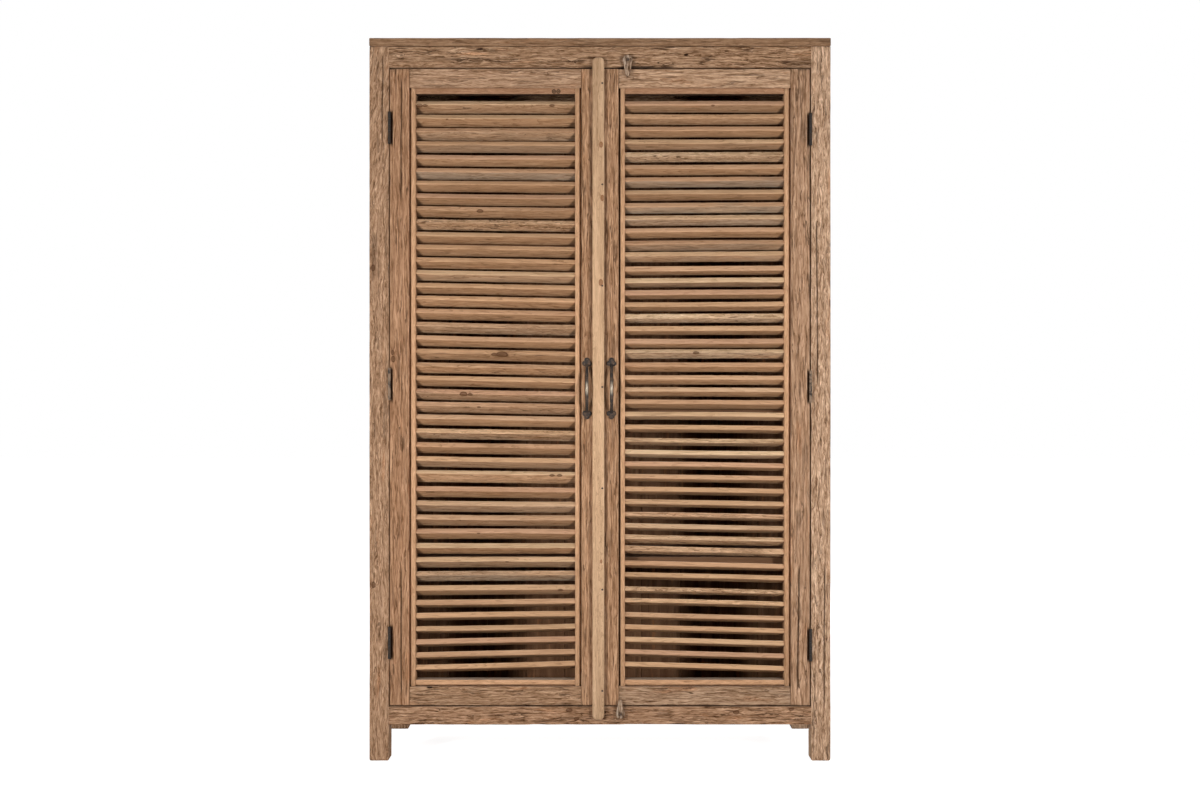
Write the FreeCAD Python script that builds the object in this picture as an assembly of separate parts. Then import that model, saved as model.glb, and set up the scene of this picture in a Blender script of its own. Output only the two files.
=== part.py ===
"""A tall cupboard in reclaimed teak with a pair of louvred doors, as separate pieces with real joints.

Frame: +Z up, +X to the right as one faces the doors, +Y from the doors to the back. The origin is on
the floor in the middle of the whole cabinet's footprint, pulls included. All sizes are in millimetres.

Four posts and eight rails are mortised together. Lapped planks stand in grooves round the sides and
the back. Boards make the top, the floor and three shelves, which lie on cleats. Each door is a
mortised frame that holds a louvre panel: two slotted side strips, a head and a sill strip, and the
slats, which slope down towards the inside. A meeting strip is nailed to the right door and laps the
left one, and two wooden turn buttons hold the right door, so that together they keep both shut. Each
door hangs on three butt hinges.
"""

import FreeCAD, Part

import math
import os
import random

from FreeCAD import Rotation, Vector

# ---------------------------------------------------------------- driving dimensions
WIDTH = 1200.0
DEPTH = 450.0
HEIGHT = 1880.0
HANDLE_REACH = 30.0  # how far the pulls stand out from the doors

POST = 52.0  # posts are square
FOOT_ROUND = 6.0
TOP_THICK = 22.0
TOP_NOSING = 2.0  # the top boards stand this far proud of the front
TOP_RAIL_HIGH = 56.0
BOTTOM_RAIL_HIGH = 48.0
BOTTOM_RAIL_FOOT = 94.0  # underside of the bottom rails above the floor
FRONT_RAIL_THICK = 32.0
SIDE_RAIL_THICK = 26.0
SIDE_RAIL_INSET = 4.0  # side and back rails lie this far inside the posts' outer faces

TENON_LONG = 26.0
TENON_SHOULDER = 8.0  # above and below a tenon
TENON_THICK = 12.0
SIDE_TENON_THICK = 10.0
JOINT_EASE = 0.2  # clearance round a tenon or a panel in its groove
HOLE_EASE = 0.05  # clearance round a nail, tack or screw

PLANK_THICK = 16.0
PLANK_GROOVE = 8.0
PLANK_LAP = 8.0
PLANK_GAP = 1.0
SIDE_PLANKS = 4
BACK_PLANKS = 10
TOP_BOARDS = 4
SHELF_BOARDS = 4
SHELF_THICK = 18.0
SHELF_UNDERSIDES = (509.0, 903.0, 1343.0)
SHELF_BEHIND_DOORS = 6.0
POST_NOTCH_EASE = 1.0
CLEAT_WIDE = 22.0
CLEAT_HIGH = 30.0

DOOR_THICK = 36.0
DOOR_SIDE_GAP = 2.0  # between a door and its post, and between the doors
DOOR_END_GAP = 2.5  # above and below the doors
HINGE_STILE = 51.0
MEETING_STILE = 48.0
DOOR_RAIL_HIGH = 50.0
DOOR_TENON_LONG = 30.0

LOUVRE_STRIP_WIDE = 16.0
LOUVRE_STRIP_DEEP = 36.0
SHADOW_GROOVE_WIDE = 4.0  # rebate that leaves a dark line beside the strips
SHADOW_GROOVE_DEEP = 10.0
HEAD_STRIP_HIGH = 16.0
HEAD_STRIP_DEEP = 22.0
SILL_STRIP_HIGH = 17.0
SLOT_DEEP = 5.0

LEFT_SLAT_WIDE = 32.0
RIGHT_SLAT_WIDE = 30.0
SLAT_THICK = 15.0
SLAT_SETBACK = 1.5  # of the slat's lowest front corner behind the door's face
SLAT_HEAD_ROOM = 15.5  # from the head strip down to the first slat
BROAD_TILT = 46.0
SHUT_TILT = 38.0
CLOSED_TILT = 35.0
HALF_CLOSED_TILT = 33.0
HALF_OPEN_TILT = 25.0
OPEN_TILT = 22.0
# (how many slats, tilt in degrees, pitch), from the head down. The doors are hand built, so they differ
LEFT_LOUVRE = (
    (5, SHUT_TILT, 35.0),
    (11, SHUT_TILT, 33.5),
    (5, SHUT_TILT, 35.0),
    (3, SHUT_TILT, 33.5),
    (4, SHUT_TILT, 36.0),
    (1, BROAD_TILT, 42.0),
    (7, SHUT_TILT, 36.5),
    (1, HALF_CLOSED_TILT, 36.5),
    (4, OPEN_TILT, 33.5),
    (2, OPEN_TILT, 31.5),
)
RIGHT_LOUVRE = (
    (11, CLOSED_TILT, 33.0),
    (1, CLOSED_TILT, 29.0),
    (1, CLOSED_TILT, 37.5),
    (1, OPEN_TILT, 31.0),
    (3, HALF_OPEN_TILT, 31.0),
    (2, HALF_OPEN_TILT, 32.5),
    (1, HALF_OPEN_TILT, 28.0),
    (2, CLOSED_TILT, 34.0),
    (2, HALF_CLOSED_TILT, 31.5),
    (1, HALF_CLOSED_TILT, 33.5),
    (2, OPEN_TILT, 33.5),
    (2, OPEN_TILT, 31.5),
    (4, OPEN_TILT, 33.0),
    (2, OPEN_TILT, 29.5),
    (1, HALF_CLOSED_TILT, 29.5),
    (1, OPEN_TILT, 39.5),
    (1, OPEN_TILT, 30.5),
    (1, OPEN_TILT, 37.0),
    (1, OPEN_TILT, 30.0),
    (1, OPEN_TILT, 37.0),
    (5, OPEN_TILT, 32.5),
)
# slats of another size, by side and number from the head: width and thickness
ODD_SLATS = {
    (-1, 28): (38.0, 11.5),
    (1, 20): (32.0, 13.0),
    (1, 36): (29.0, 18.0),
}
PITCH_WOBBLE = 0.3
TILT_WOBBLE = 1.4
THICK_WOBBLE = 0.6
SLOT_EASE = 0.1
# how far out of level the slats lie, in mm from end to end
LEFT_SKEW = 7.0
LEFT_SKEW_GROWTH = 8.0
LEFT_LEVEL_AGAIN = 0.8  # share of the way down at which the left door's slats are level again
RIGHT_SKEW_WAVE = 3.0
RIGHT_SKEW_FOOT = 12.0

# by side, -1 for the left door: the hinges were let in by eye
HINGE_HEIGHTS = {-1: (308.0, 980.0, 1645.5), 1: (301.5, 973.0, 1641.5)}
HINGE_HIGH = 78.6
HINGE_LEAF_WIDE = 24.0
HINGE_LEAF_THICK = 2.0
HINGE_LEAF_SUNK = 1.4
HINGE_GAIN_EASE = 0.1
BARREL_RADIUS = 3.8
BARREL_PROUD = 3.2  # the pin's axis in front of the doors' faces
BARREL_EASE = 0.4  # round the knuckles and the pin's caps
PIN_RADIUS = 2.0
PIN_EASE = 0.06
PIN_CAP_RADIUS = 4.2
PIN_CAP_HIGH = 2.2
KNUCKLES = 5
KNUCKLE_GAP = 0.3
SCREW_RADIUS = 1.7
SCREW_HEAD_RADIUS = 3.4
SCREW_LONG = 18.0
SCREW_SLOT = 0.8
HINGE_SCREW_HEIGHTS = (-29.0, 0.0, 29.0)
HINGE_SCREW_DEPTHS = (11.0, 17.0, 11.0)

HANDLE_HEIGHT = 968.5
HANDLE_OFFSETS = {-1: 34.0, 1: 30.0}  # from the middle of the cabinet
PLATE_THICK = 3.5
PLATE_LOBE = 6.4
PLATE_SIDE_LOBE = (6.2, 64.0)  # across, and from the handle's middle
PLATE_TIP_LOBE = 74.1
BOW_RADIUS = 4.8
BOW_ROOT = 64.0  # half the distance between the ends of the bow's arc, which lie behind the plates
BOW_ROOT_DEPTH = 3.0
TACK_RADIUS = 1.25
TACK_HEAD_RADIUS = 2.4
TACK_HEAD_HIGH = 1.2
TACK_LONG = 16.0

STRIP_WIDE = 31.4
STRIP_LEFT = -20.0
STRIP_THICK = 12.0
STRIP_CLEAR = 0.5  # between the strip and what it laps but isn't nailed to
STRIP_BOTTOM = 109.0
STRIP_TOP = 1827.0
STRIP_CORNER = 9.0
STRIP_EDGE = 2.5
STRIP_NAILS = 7
STRIP_NAIL_X = 6.0
STRIP_NAIL_RADIUS = 1.3
STRIP_NAIL_HEAD = 2.6
STRIP_NAIL_HEAD_THICK = 1.0
STRIP_NAIL_LONG = 34.0
STRIP_NAIL_FROM_END = 40.0
STRIP_SEAT_MARGIN = 1.0

BUTTON_THICK = 11.0
BUTTON_CLEAR = 0.6
# name: pivot's x and z, radii of the head and the tip, from the pivot to the tip's centre, tip up or down
BUTTONS = {
    "top_button": (71.8, 1820.5, 13.0, 5.5, 38.0, -1),
    "bottom_button": (52.5, 124.3, 12.0, 5.0, 31.5, 1),
}
BUTTON_PIVOT_RADIUS = 2.0
BUTTON_PIVOT_EASE = 0.08
BUTTON_SCREW_HEAD = 3.6
BUTTON_SCREW_HEAD_HIGH = 2.2
BUTTON_SCREW_SLOT = 1.0
BUTTON_SCREW_CLEAR = 0.3
BUTTON_SCREW_LONG = 34.0

# ---------------------------------------------------------------- places worked out from them
FRONT = -(DEPTH - HANDLE_REACH) / 2  # front faces of the posts, rails and doors
BACK = FRONT + DEPTH
SIDE = WIDTH / 2
POST_INNER = SIDE - POST
TOP_UNDER = HEIGHT - TOP_THICK
TOP_RAIL_UNDER = TOP_UNDER - TOP_RAIL_HIGH
BOTTOM_RAIL_TOP = BOTTOM_RAIL_FOOT + BOTTOM_RAIL_HIGH
SIDE_RAIL_OUTER = SIDE - SIDE_RAIL_INSET
SIDE_RAIL_INNER = SIDE_RAIL_OUTER - SIDE_RAIL_THICK
SIDE_PANEL_MID = (SIDE_RAIL_OUTER + SIDE_RAIL_INNER) / 2
BACK_RAIL_OUTER = BACK - SIDE_RAIL_INSET
BACK_RAIL_INNER = BACK_RAIL_OUTER - SIDE_RAIL_THICK
BACK_PANEL_MID = (BACK_RAIL_OUTER + BACK_RAIL_INNER) / 2
DOOR_BOTTOM = BOTTOM_RAIL_TOP + DOOR_END_GAP
DOOR_TOP = TOP_RAIL_UNDER - DOOR_END_GAP
DOOR_OUTER = POST_INNER - DOOR_SIDE_GAP
DOOR_INNER = DOOR_SIDE_GAP / 2
DOOR_BACK = FRONT + DOOR_THICK
PANEL_OUTER = DOOR_OUTER - HINGE_STILE
PANEL_INNER = DOOR_INNER + MEETING_STILE
PANEL_BOTTOM = DOOR_BOTTOM + DOOR_RAIL_HIGH
PANEL_TOP = DOOR_TOP - DOOR_RAIL_HIGH
SLATS_OUTER = PANEL_OUTER - LOUVRE_STRIP_WIDE
SLATS_INNER = PANEL_INNER + LOUVRE_STRIP_WIDE
HINGE_X = POST_INNER - DOOR_SIDE_GAP / 2
HINGE_Y = FRONT - BARREL_PROUD
SLAT_LONG = SLATS_OUTER - SLATS_INNER + 2 * (SLOT_DEEP - JOINT_EASE)
BUTTON_BACK = FRONT - BUTTON_CLEAR
BUTTON_FRONT = BUTTON_BACK - BUTTON_THICK


# ---------------------------------------------------------------- helpers
def box(x0, x1, y0, y1, z0, z1):
    """A block between two corners, given in any order along X."""
    return Part.makeBox(
        abs(x1 - x0), y1 - y0, z1 - z0, Vector(min(x0, x1), y0, z0)
    )


def cut(shape, cutters):
    """The shape less all the cutters, as one clean solid."""
    return shape.cut(cutters).removeSplitter() if cutters else shape


def fuse(shape, others):
    """The shape and the others as one clean solid."""
    return shape.fuse(others).removeSplitter() if others else shape


def cylinder(radius, start, direction, length):
    """A round bar from a point along a direction."""
    return Part.makeCylinder(radius, length, start, direction)


def wobble(index, seed):
    """A repeatable number from -1 to 1 for one piece of a hand-built set."""
    return random.Random(100 * seed + index).uniform(-1, 1)


def export(name, solids):
    """Writes one node: a solid, or a group of separate solids."""
    shape = Part.makeCompound(solids) if isinstance(solids, list) else solids
    shape.exportStep(os.path.join("parts", name + ".step"))


# ---------------------------------------------------------------- screws, tacks and nails
def screw(head, direction, ease=0.0):
    """A countersunk hinge screw with its head's face at a point. With ease it is the hole for it."""
    cone_long = SCREW_HEAD_RADIUS - SCREW_RADIUS
    cone = Part.makeCone(
        SCREW_HEAD_RADIUS + ease, SCREW_RADIUS + ease, cone_long, head, direction
    )
    shank = cylinder(SCREW_RADIUS + ease, head, direction, SCREW_LONG + ease)
    body = fuse(cone, [shank])
    if ease:
        return body
    half = SCREW_SLOT / 2
    slot = box(-SCREW_SLOT, SCREW_SLOT, -half, half, -SCREW_HEAD_RADIUS - 1, SCREW_HEAD_RADIUS + 1)
    slot.translate(head)
    return cut(body, [slot])


def tack(point, ease=0.0):
    """A round-headed tack driven along +Y, with the underside of its head at a point."""
    shank = cylinder(TACK_RADIUS + ease, point, Vector(0, 1, 0), TACK_LONG + ease)
    if ease:
        return shank
    head = Part.makeCone(
        TACK_HEAD_RADIUS,
        TACK_HEAD_RADIUS / 2,
        TACK_HEAD_HIGH,
        point,
        Vector(0, -1, 0),
    )
    return fuse(head, [shank])


def strip_nail(z, ease=0.0):
    """A flat-headed nail through the meeting strip into the right door's stile."""
    face = Vector(STRIP_NAIL_X, FRONT - STRIP_THICK, z)
    inward = Vector(0, 1, 0)
    head = cylinder(STRIP_NAIL_HEAD + ease, face, inward, STRIP_NAIL_HEAD_THICK + ease)
    return fuse(head, [cylinder(STRIP_NAIL_RADIUS + ease, face, inward, STRIP_NAIL_LONG + ease)])


def strip_nail_heights():
    """Where the meeting strip is nailed, all within the door's own height."""
    first, last = DOOR_BOTTOM + STRIP_NAIL_FROM_END, DOOR_TOP - STRIP_NAIL_FROM_END
    return [first + (last - first) * i / (STRIP_NAILS - 1) for i in range(STRIP_NAILS)]


# ---------------------------------------------------------------- hinges
def hinge_screw_heads(side, z, on_post):
    """Where a leaf's screws have their heads, and which way they go."""
    if on_post:
        face, direction = POST_INNER + HINGE_LEAF_SUNK - HINGE_LEAF_THICK, Vector(side, 0, 0)
    else:
        face, direction = DOOR_OUTER - HINGE_LEAF_SUNK + HINGE_LEAF_THICK, Vector(-side, 0, 0)
    return [
        (Vector(side * face, FRONT + deep, z + high), direction)
        for high, deep in zip(HINGE_SCREW_HEIGHTS, HINGE_SCREW_DEPTHS)
    ]


def hinge_screws(side, on_post, ease=0.0):
    """All the screws of one row of leaves."""
    return [
        screw(head, direction, ease)
        for z in HINGE_HEIGHTS[side]
        for head, direction in hinge_screw_heads(side, z, on_post)
    ]


def leaf_plate(side, z, on_post, ease=0.0):
    """The flat of one leaf, from the pin's axis back between post and door."""
    if on_post:
        inner, outer = POST_INNER + HINGE_LEAF_SUNK - HINGE_LEAF_THICK, POST_INNER + HINGE_LEAF_SUNK
    else:
        inner, outer = DOOR_OUTER - HINGE_LEAF_SUNK, DOOR_OUTER - HINGE_LEAF_SUNK + HINGE_LEAF_THICK
    half = HINGE_HIGH / 2 + ease
    return box(
        side * (inner - ease),
        side * (outer + ease),
        HINGE_Y,
        FRONT + HINGE_LEAF_WIDE + ease,
        z - half,
        z + half,
    )


def hinge_leaf(side, z, on_post):
    """A leaf with its knuckles: three on the post's leaf, two between them on the door's."""
    up = Vector(0, 0, 1)
    pitch = HINGE_HIGH / KNUCKLES
    bottom = z - HINGE_HIGH / 2
    own, others = [], []
    for i in range(KNUCKLES):
        low = bottom + i * pitch
        if (i % 2 == 0) == on_post:
            start = Vector(side * HINGE_X, HINGE_Y, low + KNUCKLE_GAP / 2)
            own.append(cylinder(BARREL_RADIUS, start, up, pitch - KNUCKLE_GAP))
        else:
            start = Vector(side * HINGE_X, HINGE_Y, low - KNUCKLE_GAP / 2)
            others.append(cylinder(BARREL_RADIUS + BARREL_EASE, start, up, pitch + KNUCKLE_GAP))
    bore = cylinder(PIN_RADIUS + PIN_EASE, Vector(side * HINGE_X, HINGE_Y, bottom - 1), up, HINGE_HIGH + 2)
    leaf = fuse(cut(leaf_plate(side, z, on_post), others), own)
    holes = [screw(head, way, HOLE_EASE) for head, way in hinge_screw_heads(side, z, on_post)]
    return cut(leaf, [bore] + holes)


def hinge_pin(side, z):
    """The pin, with a small cap at each end of the barrel."""
    up = Vector(0, 0, 1)
    bottom = z - HINGE_HIGH / 2
    foot = Vector(side * HINGE_X, HINGE_Y, bottom - PIN_CAP_HIGH)
    pin = cylinder(PIN_RADIUS, foot, up, HINGE_HIGH + 2 * PIN_CAP_HIGH)
    caps = [
        cylinder(PIN_CAP_RADIUS, Vector(side * HINGE_X, HINGE_Y, low), up, PIN_CAP_HIGH)
        for low in (bottom - PIN_CAP_HIGH, bottom + HINGE_HIGH)
    ]
    return fuse(pin, caps)


def hinge_recesses(side, on_post):
    """The cuts in a post or a stile for its hinges: gains for the leaves, seats for the barrels, holes."""
    cutters = hinge_screws(side, on_post, HOLE_EASE)
    half = HINGE_HIGH / 2 + PIN_CAP_HIGH + BARREL_EASE
    for z in HINGE_HEIGHTS[side]:
        cutters.append(leaf_plate(side, z, on_post, HINGE_GAIN_EASE))
        low = Vector(side * HINGE_X, HINGE_Y, z - half)
        cutters.append(cylinder(PIN_CAP_RADIUS + BARREL_EASE, low, Vector(0, 0, 1), 2 * half))
    return cutters


# ---------------------------------------------------------------- carcase frame
RAIL_LEVELS = ((BOTTOM_RAIL_FOOT, BOTTOM_RAIL_TOP), (TOP_RAIL_UNDER, TOP_UNDER))


def cross_rail_thickness(at_front):
    """The Y limits of the rails that run across the front or the back."""
    return (FRONT, FRONT + FRONT_RAIL_THICK) if at_front else (BACK_RAIL_INNER, BACK_RAIL_OUTER)


def cross_tenon(side, at_front, level, ease=0.0):
    """The tenon of a front or back rail, in a post."""
    y0, y1 = cross_rail_thickness(at_front)
    middle, half = (y0 + y1) / 2, TENON_THICK / 2 + ease
    z0, z1 = level
    return box(
        side * POST_INNER,
        side * (POST_INNER + TENON_LONG + 2 * ease),
        middle - half,
        middle + half,
        z0 + TENON_SHOULDER - ease,
        z1 - TENON_SHOULDER + ease,
    )


def side_tenon(side, at_front, level, ease=0.0):
    """The tenon of a side rail, in a post."""
    half = SIDE_TENON_THICK / 2 + ease
    z0, z1 = level
    if at_front:
        y0, y1 = FRONT + POST - TENON_LONG - 2 * ease, FRONT + POST
    else:
        y0, y1 = BACK - POST, BACK - POST + TENON_LONG + 2 * ease
    return box(
        side * (SIDE_PANEL_MID - half),
        side * (SIDE_PANEL_MID + half),
        y0,
        y1,
        z0 + TENON_SHOULDER - ease,
        z1 - TENON_SHOULDER + ease,
    )


def side_panel_space(side):
    """The room that the side planks fill, with their grooves."""
    half = PLANK_THICK / 2 + JOINT_EASE
    return box(
        side * (SIDE_PANEL_MID - half),
        side * (SIDE_PANEL_MID + half),
        FRONT + POST - PLANK_GROOVE,
        BACK - POST + PLANK_GROOVE,
        BOTTOM_RAIL_TOP - PLANK_GROOVE,
        TOP_RAIL_UNDER + PLANK_GROOVE,
    )


def back_panel_space():
    """The room that the back planks fill, with their grooves."""
    half = PLANK_THICK / 2 + JOINT_EASE
    reach = POST_INNER + PLANK_GROOVE
    return box(
        -reach,
        reach,
        BACK_PANEL_MID - half,
        BACK_PANEL_MID + half,
        BOTTOM_RAIL_TOP - PLANK_GROOVE,
        TOP_RAIL_UNDER + PLANK_GROOVE,
    )


def post(side, at_front):
    """A corner post with its foot rounded, mortised for its rails and grooved for the planks."""
    y0, y1 = (FRONT, FRONT + POST) if at_front else (BACK - POST, BACK)
    blank = box(side * POST_INNER, side * SIDE, y0, y1, 0, TOP_UNDER)
    foot_edges = [e for e in blank.Edges if e.BoundBox.ZMax < 1]
    blank = blank.makeFillet(FOOT_ROUND, foot_edges)
    cutters = [side_panel_space(side)]
    for level in RAIL_LEVELS:
        cutters.append(cross_tenon(side, at_front, level, JOINT_EASE))
        cutters.append(side_tenon(side, at_front, level, JOINT_EASE))
    cutters += hinge_recesses(side, True) if at_front else [back_panel_space()]
    return cut(blank, cutters)


def cross_rail(at_front, level):
    """A front or back rail with a tenon at each end."""
    y0, y1 = cross_rail_thickness(at_front)
    rail = box(-POST_INNER, POST_INNER, y0, y1, *level)
    rail = fuse(rail, [cross_tenon(side, at_front, level) for side in (-1, 1)])
    return rail if at_front else cut(rail, [back_panel_space()])


def side_rail(side, level):
    """A side rail with a tenon at each end and the groove for the planks."""
    rail = box(side * SIDE_RAIL_INNER, side * SIDE_RAIL_OUTER, FRONT + POST, BACK - POST, *level)
    rail = fuse(rail, [side_tenon(side, at_front, level) for at_front in (True, False)])
    return cut(rail, [side_panel_space(side)])


# ---------------------------------------------------------------- planks and boards
def lapped_planks(low, high, count, make_layer):
    """Planks side by side from low to high, each half lapped over the next.

    make_layer(start, end, outer) gives the outer or the inner half of one plank's thickness.
    """
    pitch = (high - low) / count
    planks = []
    for i in range(count):
        start, end = low + i * pitch, low + (i + 1) * pitch
        gap = PLANK_GAP if i else 0.0
        lap = PLANK_LAP if i else 0.0
        lap_end = PLANK_LAP if i < count - 1 else 0.0
        outer = make_layer(start + gap, end, True)
        inner = make_layer(start + lap + gap, end + lap_end, False)
        planks.append(fuse(outer, [inner]))
    return planks


def plank_heights():
    """The Z limits of the standing planks, a little short of their grooves."""
    return BOTTOM_RAIL_TOP - PLANK_GROOVE + JOINT_EASE, TOP_RAIL_UNDER + PLANK_GROOVE - JOINT_EASE


def side_planks(side):
    """The planks of one side."""
    z0, z1 = plank_heights()
    half = PLANK_THICK / 2

    def layer(start, end, outer):
        reach = half if outer else -half
        return box(side * SIDE_PANEL_MID, side * (SIDE_PANEL_MID + reach), start, end, z0, z1)

    low = FRONT + POST - PLANK_GROOVE + JOINT_EASE
    high = BACK - POST + PLANK_GROOVE - JOINT_EASE
    return lapped_planks(low, high, SIDE_PLANKS, layer)


def back_planks():
    """The planks of the back."""
    z0, z1 = plank_heights()
    half = PLANK_THICK / 2

    def layer(start, end, outer):
        y0, y1 = (BACK_PANEL_MID, BACK_PANEL_MID + half) if outer else (BACK_PANEL_MID - half, BACK_PANEL_MID)
        return box(start, end, y0, y1, z0, z1)

    reach = POST_INNER + PLANK_GROOVE - JOINT_EASE
    return lapped_planks(-reach, reach, BACK_PLANKS, layer)


def boards(half_wide, y0, y1, z0, z1, count):
    """Boards that run across the cabinet, side by side from front to back, notched round the posts."""
    wide = (y1 - y0 + PLANK_GAP) / count
    ease = POST_NOTCH_EASE
    posts = [
        box(side * (POST_INNER - ease), side * (SIDE + ease), low, high, 0, TOP_UNDER)
        for side in (-1, 1)
        for low, high in ((FRONT - ease, FRONT + POST + ease), (BACK - POST - ease, BACK + ease))
    ]
    made = []
    for i in range(count):
        start = y0 + i * wide
        made.append(cut(box(-half_wide, half_wide, start, start + wide - PLANK_GAP, z0, z1), posts))
    return made


def floor_boards():
    """The cabinet's floor, level with the top of the bottom rails."""
    return boards(
        SIDE_RAIL_INNER - JOINT_EASE,
        FRONT + FRONT_RAIL_THICK + JOINT_EASE,
        BACK_RAIL_INNER - JOINT_EASE,
        BOTTOM_RAIL_TOP - SHELF_THICK,
        BOTTOM_RAIL_TOP,
        SHELF_BOARDS,
    )


def shelf_boards(underside):
    """One shelf."""
    return boards(
        SIDE_PANEL_MID - PLANK_THICK / 2 - JOINT_EASE,
        DOOR_BACK + SHELF_BEHIND_DOORS,
        BACK_PANEL_MID - PLANK_THICK / 2 - JOINT_EASE,
        underside,
        underside + SHELF_THICK,
        SHELF_BOARDS,
    )


def top_boards():
    """The top, which lies on the posts and rails."""
    return boards(SIDE, FRONT - TOP_NOSING, BACK, TOP_UNDER, HEIGHT, TOP_BOARDS)


def cleats(side):
    """The cleats under the floor and the shelves on one side, between the posts."""
    y0, y1 = FRONT + POST + POST_NOTCH_EASE, BACK - POST - POST_NOTCH_EASE
    made = []
    for outer, top in [(SIDE_RAIL_INNER, BOTTOM_RAIL_TOP - SHELF_THICK)] + [
        (SIDE_PANEL_MID - PLANK_THICK / 2, underside) for underside in SHELF_UNDERSIDES
    ]:
        made.append(box(side * (outer - CLEAT_WIDE), side * outer, y0, y1, top - CLEAT_HIGH, top))
    return made


# ---------------------------------------------------------------- louvres
class Louvre:
    """Where one door's slats lie, from the head down."""

    def __init__(self, side, runs, slat_wide):
        self.side = side
        self.slat_wide = slat_wide
        self.tilts = []
        self.uppers = []
        upper = PANEL_TOP - HEAD_STRIP_HIGH - SLAT_HEAD_ROOM
        for count, tilt, pitch in runs:
            for _ in range(count):
                self.tilts.append(tilt)
                self.uppers.append(upper)
                upper -= pitch
        self.count = len(self.tilts)

    def skew(self, index):
        """How much higher the right-hand end of a slat is than its left-hand end, in mm."""
        share = index / (self.count - 1)
        if self.side < 0:
            most = LEFT_SKEW + LEFT_SKEW_GROWTH * share**2
            return -most * math.sin(math.pi * share / LEFT_LEVEL_AGAIN)
        return RIGHT_SKEW_WAVE * math.sin(2 * math.pi * share) - RIGHT_SKEW_FOOT * share**3

    def slat(self, index, ease=0.0):
        """One slat, or with ease the space that it needs in the strips."""
        tilt = math.radians(self.tilts[index] + TILT_WOBBLE * wobble(index, 1 + self.side))
        wide, thick = ODD_SLATS.get((self.side, index), (self.slat_wide, SLAT_THICK))
        thick += THICK_WOBBLE * wobble(index, 3 + self.side)
        upper = self.uppers[index] + PITCH_WOBBLE * wobble(index, 5 + self.side)
        lower = upper - thick * math.cos(tilt)
        y = FRONT + SLAT_SETBACK + wide / 2 * math.cos(tilt) + thick / 2 * math.sin(tilt)
        z = lower - wide / 2 * math.sin(tilt) + thick / 2 * math.cos(tilt)
        long, wide, thick = SLAT_LONG + 2 * ease, wide + 2 * ease, thick + 2 * ease
        blank = Part.makeBox(long, wide, thick, Vector(-long / 2, -wide / 2, -thick / 2))
        turn = Rotation(Vector(1, 0, 0), -math.degrees(tilt))
        lean = math.degrees(math.atan2(self.skew(index), SLATS_OUTER - SLATS_INNER))
        turn = Rotation(Vector(0, 1, 0), -lean).multiply(turn)
        middle = self.side * (SLATS_OUTER + SLATS_INNER) / 2
        blank.Placement = FreeCAD.Placement(Vector(middle, y, z), turn)
        return blank

    def slats(self, ease=0.0):
        """All the slats of the door."""
        return [self.slat(index, ease) for index in range(self.count)]

    def side_strip(self, inner, outer, groove_inner):
        """An upright strip with a slot for each slat. Its groove faces the door's stile."""
        x0, x1 = self.side * inner, self.side * outer
        strip = box(x0, x1, FRONT, FRONT + LOUVRE_STRIP_DEEP, PANEL_BOTTOM, PANEL_TOP)
        x0, x1 = self.side * groove_inner, self.side * (groove_inner + SHADOW_GROOVE_WIDE)
        groove = box(x0, x1, FRONT, FRONT + SHADOW_GROOVE_DEEP, PANEL_BOTTOM, PANEL_TOP)
        return cut(strip, [groove] + self.slats(SLOT_EASE))

    def hinge_strip(self):
        """The strip against the hinge stile."""
        return self.side_strip(SLATS_OUTER, PANEL_OUTER, PANEL_OUTER - SHADOW_GROOVE_WIDE)

    def meeting_side_strip(self):
        """The strip against the meeting stile."""
        return self.side_strip(PANEL_INNER, SLATS_INNER, PANEL_INNER)

    def head_strip(self):
        """The strip under the door's top rail."""
        return box(
            self.side * SLATS_INNER,
            self.side * SLATS_OUTER,
            FRONT,
            FRONT + HEAD_STRIP_DEEP,
            PANEL_TOP - HEAD_STRIP_HIGH,
            PANEL_TOP,
        )

    def sill_strip(self):
        """The strip on the door's bottom rail, with a groove under its face."""
        x0, x1 = self.side * SLATS_INNER, self.side * SLATS_OUTER
        top = PANEL_BOTTOM + SILL_STRIP_HIGH
        strip = box(x0, x1, FRONT, FRONT + LOUVRE_STRIP_DEEP, PANEL_BOTTOM, top)
        groove = box(
            x0, x1, FRONT, FRONT + SHADOW_GROOVE_DEEP, PANEL_BOTTOM, PANEL_BOTTOM + SHADOW_GROOVE_WIDE
        )
        return cut(strip, [groove])


# ---------------------------------------------------------------- doors
DOOR_RAIL_LEVELS = {
    "top": (PANEL_TOP, DOOR_TOP),
    "bottom": (DOOR_BOTTOM, PANEL_BOTTOM),
}


def door_tenon(side, edge, inward, level, ease=0.0):
    """A door rail's tenon, from a stile's edge into it."""
    middle, half = (FRONT + DOOR_BACK) / 2, TENON_THICK / 2 + ease
    z0, z1 = level
    return box(
        side * edge,
        side * (edge + inward * (DOOR_TENON_LONG + 2 * ease)),
        middle - half,
        middle + half,
        z0 + TENON_SHOULDER - ease,
        z1 - TENON_SHOULDER + ease,
    )


def door_rail(side, level):
    """A door's top or bottom rail with a tenon at each end."""
    rail = box(side * PANEL_INNER, side * PANEL_OUTER, FRONT, DOOR_BACK, *level)
    return fuse(rail, [door_tenon(side, PANEL_OUTER, 1, level), door_tenon(side, PANEL_INNER, -1, level)])


def hinge_stile(side):
    """The stile that carries the hinges."""
    stile = box(side * PANEL_OUTER, side * DOOR_OUTER, FRONT, DOOR_BACK, DOOR_BOTTOM, DOOR_TOP)
    mortises = [door_tenon(side, PANEL_OUTER, 1, level, JOINT_EASE) for level in DOOR_RAIL_LEVELS.values()]
    return cut(stile, mortises + hinge_recesses(side, False))


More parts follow.
